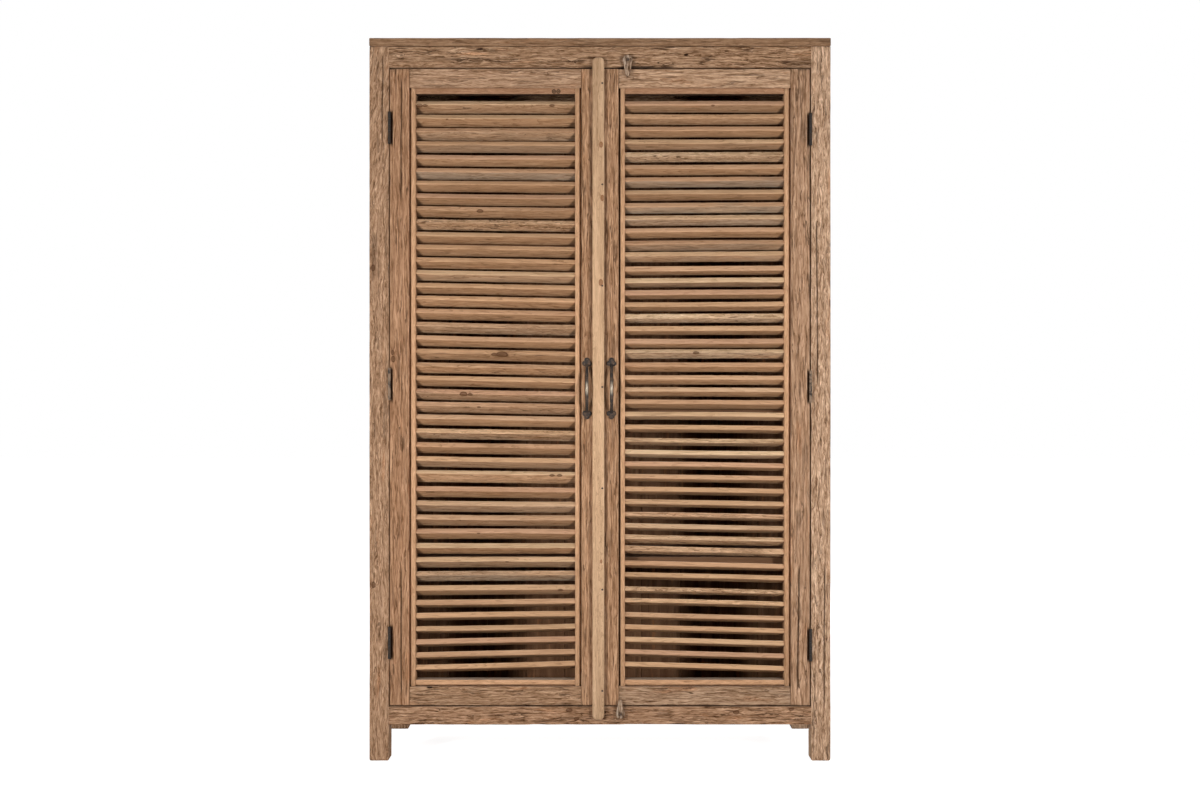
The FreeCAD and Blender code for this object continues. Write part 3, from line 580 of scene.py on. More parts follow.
# ---------------------------------------------------------------- timber
class Lie(Enum):
    """How a timber lies: which way its grain, its width and its face point."""

    UPRIGHT = (Z, -X, -Y)
    LEVEL = (X, Z, -Y)
    DEEP = (Y, Z, X)
    FLAT = (X, Y, Z)
    UPRIGHT_SIDE = (Z, Y, -X)

    def turn(self) -> Matrix:
        """The rotation from the timber's own frame."""
        return Matrix(self.value).transposed()


@dataclass(frozen=True)
class Wear:
    """How weather has left a timber: how far its surface has sunk, and how round its arrises are."""

    wave: float = 1.0 * MM
    fibre: float = 0.6 * MM
    fissure: float = 0.9 * MM
    chip: float = 1.2 * MM
    arris: float = 1.2 * MM


WEATHERED = Wear()
JOINED = Wear(wave=0.6 * MM)
PLANED = Wear(wave=0.5 * MM, fibre=0.10 * MM, fissure=0.0, chip=0.5 * MM, arris=1.2 * MM)
SAWN = Wear(wave=0.4 * MM, fibre=0.15 * MM, fissure=0.3 * MM, chip=0.6 * MM, arris=1.0 * MM)


@dataclass(frozen=True)
class Crack:
    """A long drying crack in a front face, from one point (x, z) to another."""

    start: tuple[float, float]
    end: tuple[float, float]
    deep: float = 4.5 * MM
    wander: float = 1.5 * MM


@dataclass(frozen=True)
class Knot:
    """A knot in a front face, at a point (x, z)."""

    x: float
    z: float
    radius: float = 6 * MM
    stretch: float = 1.6  # how much longer it is along the grain


@dataclass(frozen=True)
class Stain:
    """A patch of another colour in a front face: its middle (x, z), half sizes and strength."""

    x: float
    z: float
    wide: float
    high: float
    colour: Colour
    strength: float = 0.8


@dataclass(frozen=True)
class Hole:
    """A worn hole in a front face: its middle (x, z), its half sizes, its depth, and if it is a slot."""

    x: float
    z: float
    wide: float
    high: float
    deep: float = 6 * MM
    slot: bool = False


@dataclass(frozen=True)
class Habit:
    """How a timber's grain runs."""

    crinkle: float = 1.0
    contrast: float = 1.0
    grey: float = 0.0


CRINKLED = Habit()
STRAIGHT = Habit(0.55, 1.0)

SHARP = math.radians(30)
CLEAN_ANGLE = math.radians(1)
RIM_ANGLE = math.radians(50)
WELD = 0.01 * MM  # points closer than this are one
KNOT_REACH = (2.4, 1.5)  # how far a knot changes the wood along and across the grain, in radii
HOLE_REACH = 1.2  # the same for a hole, in half sizes
HALF_CUTS = 4  # how many cuts each way the grid has at such a mark
# how dark the painted shade in the fissures is
FISSURE_DARK = 0.45
SWEEP_FROM = 0.28  # how far above its middle a swept grain starts to lean, as a share of the length
CRACK_HALF_WIDE = 1.1 * MM
CRACK_PULL = 8 * MM  # how far to each side a crack's wandering bends the grain


@dataclass
class Timber:
    """One sawn length of timber, worked in its own frame and then laid in its place."""

    centre: Vector
    turn: Matrix
    size: Vector
    tint: Colour
    seed: int
    wear: Wear = WEATHERED
    steps: Triple = mm(8, 2.2, 2.2)
    cracks: tuple[Crack, ...] = ()
    knots: tuple[Knot, ...] = ()
    holes: tuple[Hole, ...] = ()
    stains: tuple[Stain, ...] = ()
    habit: Habit = CRINKLED
    foot: float = 0.0  # how far the arrises round its lower end are worn
    dust: float = 0.25  # how grey and light its upper faces are: dust, and painted light on the faces that point up
    sweep: float = 0.0  # how far its grain leans over towards its upper end, as a slope
    soot: float = 0.0  # how dark its lower faces are, as painted shade
    fade: float = 0.0  # how much darker its colour is made towards its ends

    def blank(self) -> BMesh:
        """The sawn block with its arrises taken off, cut into a fine grid."""
        block = cube(self.size)
        if self.foot:
            low = [e for e in block.edges if all(v.co.x < 0 for v in e.verts)]
            round_over(block, low, self.foot, 4)
        self.ease_arrises(block)
        for axis in range(3):
            long = self.size[axis] / 2
            edges = [e for e in block.edges if abs((e.verts[0].co - e.verts[1].co)[axis]) > long]
            cuts = max(0, round(self.size[axis] / self.steps[axis]) - 1)
            if cuts:
                bmesh.ops.subdivide_edges(block, edges=edges, cuts=cuts, use_grid_fill=True)
        self.refine(block)
        return block

    def refine(self, block: BMesh) -> None:
        """Cuts the grid finer at the knots and holes, so that they come out sharp."""
        marks = [(knot, *(share * knot.radius for share in KNOT_REACH)) for knot in self.knots]
        marks += [(hole, *(HOLE_REACH * reach for reach in self.reach(hole))) for hole in self.holes]
        for mark, long, wide in marks:
            middle = self.local(mark.x, mark.z)
            for axis, reach in ((0, long), (1, wide)):
                for cut in range(-HALF_CUTS, HALF_CUTS + 1):
                    slice_at(block, axis, middle[axis] + reach * cut / HALF_CUTS)

    def ease_arrises(self, block: BMesh) -> None:
        """Rounds its sharp edges a little."""
        round_over(block, [e for e in block.edges if e.calc_face_angle(0) > SHARP], self.wear.arris, 2)

    def local(self, x: float, z: float) -> Vector:
        """A point of the front face in the timber's own frame."""
        return self.turn.transposed() @ (Vector((x, self.centre.y, z)) - self.centre)

    def reach(self, mark: Stain | Hole) -> tuple[float, float]:
        """The half sizes of a patch or a hole, along the grain and across it."""
        upright = abs(self.turn[0][1]) > 0.5
        return (mark.high, mark.wide) if upright else (mark.wide, mark.high)

    def open_crack(self, crack: Crack, place: Array, front: Array) -> Array:
        """Bends the grid to a crack and pushes its middle line in. Returns how near each point is to it."""
        start, end = self.local(*crack.start), self.local(*crack.end)
        if start.x > end.x:
            start, end = end, start
        share = (place[:, 0] - start.x) / (end.x - start.x)
        line = start.y + (end.y - start.y) * np.clip(share, 0, 1)
        along = np.column_stack([place[:, 0], np.full((len(place), 2), self.seed * 1.7)])
        path = line + crack.wander * NOISE(along, (14, 1, 1))
        open_ = smooth(share, 0.0, 0.12) * smooth(share, 1.0, 0.9) * front
        step = self.steps[1]
        column = np.round(line / step) * step
        offset = place[:, 1] - column
        pull = np.exp(-((offset / CRACK_PULL) ** 2)) * open_
        middle = (np.abs(offset) < 0.6 * step) * open_
        beside = (np.abs(offset) < 1.6 * step) * (open_ - middle)
        place[:, 1] += pull * (path - column)
        squeeze = path + np.sign(offset) * CRACK_HALF_WIDE - place[:, 1]
        place[:, 1] += beside * squeeze
        place[:, 2] -= middle * crack.deep
        return np.maximum(middle, beside * 0.5)

    def grow_knot(self, knot: Knot, place: Array, grain: Array, front: Array) -> Array:
        """Turns the grain round a knot and sinks its heart. Returns how near each point is to it."""
        middle = self.local(knot.x, knot.z)
        dx, dy = place[:, 0] - middle.x, place[:, 1] - middle.y
        far = np.sqrt((dx / knot.stretch) ** 2 + dy**2) / knot.radius
        near = np.exp(-(far**2)) * front
        grain[:, 1] += np.sign(dy) * knot.radius * np.exp(-(far**2) / 4) * front
        place[:, 2] -= near * 0.5 * MM
        return near

    def sink_hole(self, hole: Hole, place: Array, normal: Array, front: Array) -> Array:
        """Sinks a hole into the face. Returns how dark each point is with it."""
        middle = self.local(hole.x, hole.z)
        ragged = 1 + (0.08 if hole.slot else 0.35) * NOISE(place + self.seed, (140, 200, 200))
        reach = np.abs((place - np.array(middle))[:, :2]) / self.reach(hole)
        far = (reach.max(axis=1) if hole.slot else np.hypot(*reach.T)) * ragged
        front = np.maximum(front, smooth(normal[:, 2], -0.1, 0.1)) if hole.slot else front
        inside = smooth(far, 1.15, 0.7) * front
        place[:, 2] -= inside * hole.deep
        return smooth(far, 1.35, 0.8) * front

    def stain(self, patch: Stain, place: Array, tint: Array) -> None:
        """Changes the colour of a patch, with a ragged edge."""
        middle = self.local(patch.x, patch.z)
        ragged = 1 + 0.6 * NOISE(place + self.seed, (60, 190, 190))
        far = np.hypot(*((place - np.array(middle))[:, :2] / self.reach(patch)).T) * ragged
        share = (smooth(far, 1.2, 0.5) * patch.strength)[:, None]
        tint += (np.array(patch.colour) - tint) * share

    def weather(self, mesh: Mesh) -> None:
        """Wears the surface down and writes the attributes that the finishes read."""
        place, normal = points_of(mesh)
        wear = self.wear
        rng = random.Random(self.seed)
        drift = np.array([rng.uniform(0, 8) for _ in range(3)])
        grain = place + drift
        wave = wear.wave * NOISE.share(grain, WAVES)
        fibre = wear.fibre * NOISE.share(grain, FIBRES)
        fissure = smooth(NOISE(grain + 3, FISSURES), 0.45, 0.75) if wear.fissure else 0 * wave
        arris = smooth(np.abs(normal).max(axis=1), 0.985, 0.85)
        chip = wear.chip * arris * np.clip(0.15 + NOISE(grain, CHIPS), 0, 1)
        at_end = np.where(np.abs(normal[:, 0]) > 0.9, 0.2, 1.0)
        sunk = (wave + fibre + wear.fissure * fissure + chip) * at_end
        place -= normal * sunk[:, None]
        front = smooth(normal[:, 2], 0.6, 0.95)
        dark = fissure * FISSURE_DARK
        for crack in self.cracks:
            dark = np.maximum(dark, self.open_crack(crack, place, front))
        near = np.zeros(len(place))
        for knot in self.knots:
            near = np.maximum(near, self.grow_knot(knot, place, grain, front))
        for hole in self.holes:
            dark = np.maximum(dark, self.sink_hole(hole, place, normal, front))
        move_points(mesh, place)
        tint, planed = self.paint(place, normal, grain)
        for patch in self.stains:
            self.stain(patch, place, tint)
        upward = normal @ np.array(self.turn)[2]
        # painted shade on the faces that point down
        tint *= (1 - self.soot * smooth(upward, -0.5, -0.9))[:, None]
        # darker towards its ends
        tint *= 1 - self.fade * (2 * place[:, :1] / self.size.x) ** 2
        # dust, and painted light, on the faces that point up
        dusted_and_lit = smooth(upward, 0.6, 0.95)[:, None] * self.dust
        tint += (np.array(Tone.DUST_AND_TOP_LIGHT.value) - tint) * dusted_and_lit
        grain[:, 1] += self.sweep * np.maximum(place[:, 0] - SWEEP_FROM * self.size.x, 0)
        habit = np.ones((len(place), 3)) * [self.habit.crinkle, self.habit.contrast, self.habit.grey]
        habit[:, 2] *= 1 - planed
        write_vectors(mesh, "grain", grain)
        write_vectors(mesh, "tint", tint)
        write_vectors(mesh, "marks", np.column_stack([dark, near, planed]))
        write_vectors(mesh, "habit", habit)

    def paint(self, place: Array, normal: Array, grain: Array) -> tuple[Array, Array]:
        """The colour at each point, and how freshly planed it is."""
        end = smooth(np.abs(normal[:, :1]), 0.85, 0.99)
        return np.array(self.tint) * (1 - 0.3 * end) * np.ones((len(place), 3)), np.zeros(len(place))

    def mesh(self) -> Mesh:
        """The finished timber in its place."""
        made = to_mesh(self.blank(), "timber")
        self.weather(made)
        made.transform(Matrix.LocRotScale(self.centre, self.turn.to_quaternion(), None))
        return made


@dataclass
class Slat(Timber):
    """A louvre slat, with its front edge planed and its faces left as they were found.

    The faces' darker colour is partly that of weathered wood and partly painted shade.
    """

    edge_tint: Colour = Tone.SLAT_EDGE_WARM.value
    planed_margin: float = 2.2 * MM
    rough: float = 0.0  # how little of the front edge the plane has taken
    bow: float = 0.0  # how far its middle has sagged
    knot_inset: float = 4 * MM  # how far from the front edge its knots lie
    housed: float = 5 * MM  # how far each end goes into its strip
    painted_end_shadow: float = 0.5  # how dark the painted shadow is in the corners under its ends
    end_shadow_slope: float = 0.62  # how much further in the painted shadow reaches towards the back
    end_cuts: int = 6  # how many cuts the grid has more at each end, and how far apart they are
    end_step: float = 3.4 * MM

    def blank(self) -> BMesh:
        """The sawn slat, with a finer grid at its ends for the painted shadow there."""
        block = super().blank()
        first = self.size.x / 2 - self.housed - 0.5 * MM
        for end, cut in itertools.product((-1, 1), range(self.end_cuts)):
            slice_at(block, 0, end * (first - cut * self.end_step))
        return block

    def weather(self, mesh: Mesh) -> None:
        """Bends the slat and then wears it."""
        place, _ = points_of(mesh)
        place[:, 2] += self.bow * (1 - (2 * place[:, 0] / self.size.x) ** 2)
        move_points(mesh, place)
        super().weather(mesh)

    def grow_knot(self, knot: Knot, place: Array, grain: Array, front: Array) -> Array:
        """A knot that shows on the front edge and on the face under it."""
        middle = Vector((self.local(knot.x, knot.z).x, self.size.y / 2 - self.knot_inset, self.size.z / 2))
        away = place - np.array(middle)
        far = np.sqrt((away[:, 0] / 1.7) ** 2 + away[:, 1] ** 2 + away[:, 2] ** 2) / knot.radius
        grain[:, 1:] += np.sign(away[:, 1:]) * (knot.radius * 0.8 * np.exp(-(far**2) / 4))[:, None]
        return np.exp(-(far**2))

    def paint(self, place: Array, normal: Array, grain: Array) -> tuple[Array, Array]:
        """Bright on the front edge, down to a margin that wanders along the slat."""
        edge = self.size.y / 2
        margin = self.planed_margin * (0.7 + 0.9 * NOISE(grain, (9, 0.1, 0.1)))
        planed = smooth(place[:, 1], edge - margin - 1.2 * MM, edge - margin + 0.4 * MM)
        share = planed[:, None]
        tint = np.array(self.tint) * (1 - share) + np.array(self.edge_tint) * share
        left = self.rough * (0.5 + 0.5 * smooth(NOISE(grain + 5, (7, 0.1, 0.1)), -0.2, 0.3))
        from_end = self.size.x / 2 - self.housed - np.abs(place[:, 0])
        # painted shadow: the triangles that the strips cast onto the faces under its ends
        corner = smooth(from_end - self.end_shadow_slope * (edge - place[:, 1]), 1.5 * MM, -3.5 * MM)
        corner *= smooth(normal[:, 2], 0.2, 0.7)
        tint *= (1 - self.painted_end_shadow * corner)[:, None]
        return tint, planed * (1 - left)


@dataclass
class CadBoard(Timber):
    """A board or plank whose outline, with its laps and notches, is that of its CAD solid."""

    solid: BMesh | None = None

    def blank(self) -> BMesh:
        """The solid in its own frame, with its arrises taken off and a grid cut into it."""
        block = self.solid
        place = Matrix.LocRotScale(self.centre, self.turn.to_quaternion(), None)
        bmesh.ops.transform(block, matrix=place.inverted(), verts=block.verts)
        bmesh.ops.dissolve_limit(block, angle_limit=CLEAN_ANGLE, verts=block.verts, edges=block.edges)
        self.ease_arrises(block)
        cut_grid(block, dict(enumerate(self.steps)))
        return block


# ---------------------------------------------------------------- solids of the CAD nodes
def solids_of(node: str) -> list[BMesh]:
    """Each solid of a CAD node as a mesh of its own, in the order of its middle from low to high."""
    whole = bmesh.new()
    whole.from_mesh(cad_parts[node].data)
    bmesh.ops.remove_doubles(whole, verts=whole.verts, dist=1e-6)
    whole.verts.ensure_lookup_table()
    left, groups = set(range(len(whole.verts))), []
    while left:
        group, edge = set(), [left.pop()]
        while edge:
            index = edge.pop()
            group.add(index)
            near = {e.other_vert(whole.verts[index]).index for e in whole.verts[index].link_edges}
            edge += near & left
            left -= near
        groups.append(group)
    solids = []
    for group in groups:
        solid = whole.copy()
        solid.verts.ensure_lookup_table()
        others = [v for v in solid.verts if v.index not in group]
        bmesh.ops.delete(solid, geom=others, context="VERTS")
        solids.append(solid)
    whole.free()
    return sorted(solids, key=lambda s: tuple(round(c, 4) for c in middle_of(s)))


def middle_of(solid: BMesh) -> Vector:
    """The middle of a solid's box."""
    return sum(corners_of(solid), Vector()) / 2


def corners_of(solid: BMesh) -> tuple[Vector, Vector]:
    """The lowest and highest corners of a solid."""
    places = [v.co for v in solid.verts]
    return tuple(Vector(pick(p[i] for p in places) for i in range(3)) for pick in (min, max))


def sawn_axes(solid: BMesh) -> tuple[Vector, Matrix, Vector]:
    """A rectangular solid's middle, the turn to it, and its sizes. It may lie at any angle.

    Args:
        solid: a block with eight corners, longest along X.

    Returns:
        Its middle, its axes as a turn with the second one towards the front edge, and its sizes.
    """
    places = np.array([v.co for v in solid.verts])
    middle = places.mean(axis=0)
    axes = np.linalg.eigh((places - middle).T @ (places - middle))[1]
    long, wide = Vector(axes[:, 2]), Vector(axes[:, 1])
    long = long if long.x > 0 else -long
    wide = wide if wide.y < 0 else -wide
    turn = Matrix((long, wide, long.cross(wide))).transposed()
    reach = np.abs((places - middle) @ np.array(turn)).max(axis=0)
    return Vector(middle), turn, Vector(reach) * 2


# ---------------------------------------------------------------- pieces
class Workshop:
    """Puts finished meshes together as pieces, and keeps their materials."""

    def __init__(self) -> None:
        """Makes the materials."""
        self.finishes = Finishes()
        self.count = 0

    def piece(self, name: str, body: str, slot: str, parts: list[Mesh], *nodes: str) -> None:
        """Makes one piece of the cupboard.

        Args:
            name: the piece's name.
            body: the CAD body that it rides on.
            slot: the record's material slot, which also names its finish.
            parts: its meshes, in place.
            nodes: the CAD nodes that it stands for.
        """
        whole = bmesh.new()
        for part in parts:
            whole.from_mesh(part)
        mesh = to_mesh(whole, name)
        for part in parts:
            bpy.data.meshes.remove(part)
        mesh.polygons.foreach_set("use_smooth", [True] * len(mesh.polygons))
        mesh.materials.append(self.finishes[slot])
        made = bpy.data.objects.new(name, mesh)
        bpy.context.scene.collection.objects.link(made)
        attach(made, body)
        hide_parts(*nodes)
        self.count += 1
        log.info("%s: %d faces on %s", name, len(mesh.polygons), body)

    def timber_piece(self, node: str, body: str, *timbers: Timber, slot: str = "weathered_wood") -> None:
        """A piece of one or more timbers that stands for one CAD node."""
        self.piece(node + "_timber", body, slot, [t.mesh() for t in timbers], node)

    def dress_node(self, node: str, slot: str) -> None:
        """Gives a CAD node that stays as it is its finish."""
        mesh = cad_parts[node].data
        mesh.materials.clear()
        mesh.materials.append(self.finishes[slot])
        log.info("%s: kept, in %s", node, slot)


def block(lie: Lie, low: Vector, high: Vector, tone: Tone, seed: int, **more: object) -> Timber:
    """A rectangular timber between two corners.

    Args:
        lie: how its grain lies.
        low: its lowest corner.
        high: its highest corner.
        tone: its colour.
        seed: the number that its grain follows from.
        more: other fields of Timber.

    Returns:
        The timber.
    """
    turn = lie.turn()
    size = turn.transposed() @ (high - low)
    return Timber((low + high) / 2, turn, Vector(map(abs, size)), tone.value, seed, **more)


SIDES = {"left": -1, "right": 1}
COARSE = mm(14, 4, 4)


@dataclass
class Carcase:
    """The part of the cupboard that stands still: posts, rails, planks and boards."""

    shop: Workshop
    body: str = "carcase"
    front_steps: Triple = mm(7, 2.0, 2.4)
    post_cracks: dict = field(
        default_factory=lambda: {
            "left": (Crack((-0.566, 1.60), (-0.564, 1.84), 3.0 * MM),),
            "right": (Crack((0.566, 0.95), (0.562, 1.42)), Crack((0.582, 0.12), (0.584, 0.52))),
        }
    )
    post_knots: dict = field(
        default_factory=lambda: {
            "left": (Knot(-0.590, 1.282, 5 * MM), Knot(-0.589, 0.458, 5 * MM)),
            "right": (),
        }
    )
    post_lean: float = 0.16  # how far the grain leans over at the top of the front left post
    rail_reach: float = 2.5 * MM  # how far the front rails' faces go into the posts
    post_habits: dict = field(
        default_factory=lambda: {"left": Habit(1.3, 0.80), "right": Habit(1.3, 0.92)}
    )
    rail_marks: dict = field(
        default_factory=lambda: {
            "top": {
                "stains": (
                    Stain(-0.325, 1.840, 34 * MM, 6 * MM, screen(196, 143, 104), 0.6),
                    Stain(-0.300, 1.846, 60 * MM, 5 * MM, screen(190, 158, 128), 0.5),
                    # painted shadow in the gap between the rail and the doors' tops
                    Stain(0.085, 1.803, 75 * MM, 4 * MM, Tone.PAINTED_GAP_SHADOW.value, 0.9),
                    Stain(-0.035, 1.803, 16 * MM, 4 * MM, Tone.PAINTED_GAP_SHADOW.value, 0.8),
                ),
                "holes": (
                    Hole(-0.312, 1.851, 9 * MM, 2.2 * MM, 3 * MM), Hole(0.224, 1.836, 6 * MM, 2.6 * MM),
                ),
            },
            "bottom": {
                "knots": (
                    Knot(0.354, 0.127, 5 * MM), Knot(0.497, 0.135, 4 * MM),
                    Knot(-0.080, 0.132, 5 * MM), Knot(-0.061, 0.110, 4 * MM),
                ),
                "stains": (Stain(0.502, 0.104, 16 * MM, 8 * MM, screen(196, 152, 118), 0.7),),
            },
        }
    )

    def build(self) -> None:
        """Makes all its pieces."""
        self.posts()
        self.front_rails()
        self.other_rails()
        self.planks()
        self.boards()

    def posts(self) -> None:
        """The four corner posts."""
        for word in SIDES:
            tone = Tone.POST_LEFT if word == "left" else Tone.POST_RIGHT
            for place in ("front", "back"):
                node = f"post_{place}_{word}"
                at_front = place == "front"
                post = block(
                    Lie.UPRIGHT,
                    *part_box(node),
                    tone,
                    11 + SIDES[word] + 3 * at_front,
                    steps=self.front_steps if at_front else COARSE,
                    wear=replace(WEATHERED, wave=0.8 * MM, chip=0.8 * MM),
                    cracks=self.post_cracks[word] if at_front else (),
                    knots=self.post_knots[word],
                    habit=self.post_habits[word],
                    foot=5 * MM,
                    sweep=self.post_lean if node == "post_front_left" else 0.0,
                )
                self.shop.timber_piece(node, self.body, post)

    def inner_faces(self) -> tuple[float, float]:
        """The x of the posts' faces towards the doors."""
        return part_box("post_front_left")[1].x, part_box("post_front_right")[0].x

    def front_rails(self) -> None:
        """The rails above and below the doors."""
        left, right = self.inner_faces()
        for place, tone, seed in (("top", Tone.TOP_RAIL, 21), ("bottom", Tone.BOTTOM_RAIL, 22)):
            node = f"front_{place}_rail"
            low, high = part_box(node)
            low.x, high.x = left - self.rail_reach, right + self.rail_reach
            rail = block(
                Lie.LEVEL, low, high, tone, seed, steps=self.front_steps, habit=Habit(1.0, 1.18),
                **self.rail_marks[place],
            )
            self.shop.timber_piece(node, self.body, rail)

    def other_rails(self) -> None:
        """The rails at the sides and the back."""
        left, right = self.inner_faces()
        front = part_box("post_front_left")[1].y
        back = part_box("post_back_left")[0].y
        for place, seed in (("top", 31), ("bottom", 34)):
            node = f"back_{place}_rail"
            low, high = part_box(node)
            low.x, high.x = left, right
            rail = block(Lie.LEVEL, low, high, Tone.TOP_RAIL, seed, steps=COARSE, wear=JOINED)
            self.shop.timber_piece(node, self.body, rail)
            for word in SIDES:
                node = f"side_{place}_rail_{word}"
                low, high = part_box(node)
                low.y, high.y = front, back
                rail = block(
                    Lie.DEEP, low, high, Tone.BOTTOM_RAIL, seed + 1 + (word == "left"),
                    steps=mm(8, 3, 3), wear=JOINED,
                )
                self.shop.timber_piece(node, self.body, rail)

    def shaped(self, node: str, lie: Lie, tone: Tone, slot: str, seed: int, **more: object) -> None:
        """A piece of boards that keep the outlines of a CAD node's solids, each a little its own shade."""
        boards = []
        for index, solid in enumerate(solids_of(node)):
            low, high = corners_of(solid)
            rng = random.Random(100 * seed + index)
            shade = rng.uniform(0.84, 1.14)
            tint = tuple(c * shade for c in tone.value)
            turn = lie.turn()
            size = Vector(map(abs, turn.transposed() @ (high - low)))
            boards.append(
                CadBoard((low + high) / 2, turn, size, tint, 100 * seed + index, solid=solid, **more)
            )
        self.shop.timber_piece(node, self.body, *boards, slot=slot)

    def planks(self) -> None:
        """The lapped planks of the sides and the back."""
        for seed, word in enumerate(SIDES, 41):
            self.shaped(
                f"side_planks_{word}", Lie.UPRIGHT_SIDE, Tone.SIDE_PLANK, "weathered_wood", seed,
                steps=mm(12, 3, 5), wear=replace(JOINED, arris=1.0 * MM),
            )
        self.shaped(
            "back_planks", Lie.UPRIGHT, Tone.BACK, "inner_wood", 43,
            steps=mm(16, 4, 8), wear=replace(SAWN, arris=0.8 * MM),
        )

    def boards(self) -> None:
        """The top, the floor, the shelves and their cleats."""
        self.shaped(
            "top_planks", Lie.FLAT, Tone.TOP_BOARD, "weathered_wood", 44,
            steps=mm(9, 3.2, 2.4), wear=replace(WEATHERED, arris=2.2 * MM),
            habit=Habit(0.8, 0.72),
        )
        for seed, node in enumerate(("floor_planks", "shelf_lower", "shelf_middle", "shelf_upper"), 45):
            self.shaped(node, Lie.FLAT, Tone.INNER, "inner_wood", seed, steps=mm(18, 5, 6), wear=SAWN)
        for seed, word in enumerate(SIDES, 51):
            self.shaped(
                f"cleats_{word}", Lie.DEEP, Tone.INNER, "inner_wood", seed,
                steps=mm(16, 6, 6), wear=SAWN,
            )


@dataclass(frozen=True)
class SlatFind:
    """What marks one slat out: greyed below, pale or rough in front, or knotty.

    A knot is an x and a radius in millimetres.
    """

    grey_face: float = 0.0
    pale: float = 0.0
    rough: float = 0.0
    knots: tuple[tuple[float, float], ...] = ()


LEFT_FINDS = {
    0: SlatFind(0.1, rough=0.35, knots=((-0.470, 5), (-0.455, 4), (-0.125, 4))),
    1: SlatFind(knots=((-0.398, 2),)),
    2: SlatFind(0.45, rough=0.4),
    3: SlatFind(0.35),
    5: SlatFind(0.9, rough=0.2),
    8: SlatFind(knots=((-0.312, 5),)),
    9: SlatFind(0.2, 0.5, 0.9),
    13: SlatFind(0.3, 0.4),
    17: SlatFind(0.3, 0.3, 0.6),
    19: SlatFind(knots=((-0.255, 9), (-0.275, 5))),
    20: SlatFind(0.0, 0.3, 0.4),
    22: SlatFind(0.2, rough=0.5, knots=((-0.355, 6), (-0.338, 4))),
    23: SlatFind(0.2, rough=0.3, knots=((-0.315, 3),)),
    25: SlatFind(0.3, 0.4, 0.7),
    27: SlatFind(0.3, 0.2),
    28: SlatFind(0.1, 0.9, 0.3, knots=((-0.125, 4), (-0.105, 4))),
    30: SlatFind(0.5),
    31: SlatFind(0.1, 0.5),
    32: SlatFind(knots=((-0.316, 3),)),
    34: SlatFind(0.3, knots=((-0.242, 3),)),
    35: SlatFind(1.0, 0.3, 0.6),
    36: SlatFind(0.1, 0.3, knots=((-0.103, 4),)),
}
RIGHT_FINDS = {
    0: SlatFind(0.15, knots=((0.294, 3),)),
    1: SlatFind(0.1, rough=0.5),
    3: SlatFind(0.2),
    4: SlatFind(0.35, 1.0, 0.9),
    6: SlatFind(0.9),
    8: SlatFind(1.0, 0.2),
    9: SlatFind(0.6, 0.2, 0.5),
    11: SlatFind(0.6),
    12: SlatFind(0.4),
    14: SlatFind(0.3),
    17: SlatFind(0.5, 0.7, 0.8),
    20: SlatFind(0.45, 1.0, 0.5, knots=((0.250, 5),)),
    22: SlatFind(0.0, 0.3),
    25: SlatFind(0.3, 0.7),
    27: SlatFind(0.2, 0.7, 0.5),
    28: SlatFind(0.4, 1.0, 0.2),
    33: SlatFind(0.1, 0.4, 0.6),
    34: SlatFind(0.1, 0.2),
    35: SlatFind(0.1, 0.5, 0.7),
    36: SlatFind(0.2, 0.4, 0.8, knots=((0.105, 3),)),
    38: SlatFind(0.0, 0.3),
    39: SlatFind(0.1, 0.6, 1.0),
    40: SlatFind(0.0, 0.3, 0.7),
}


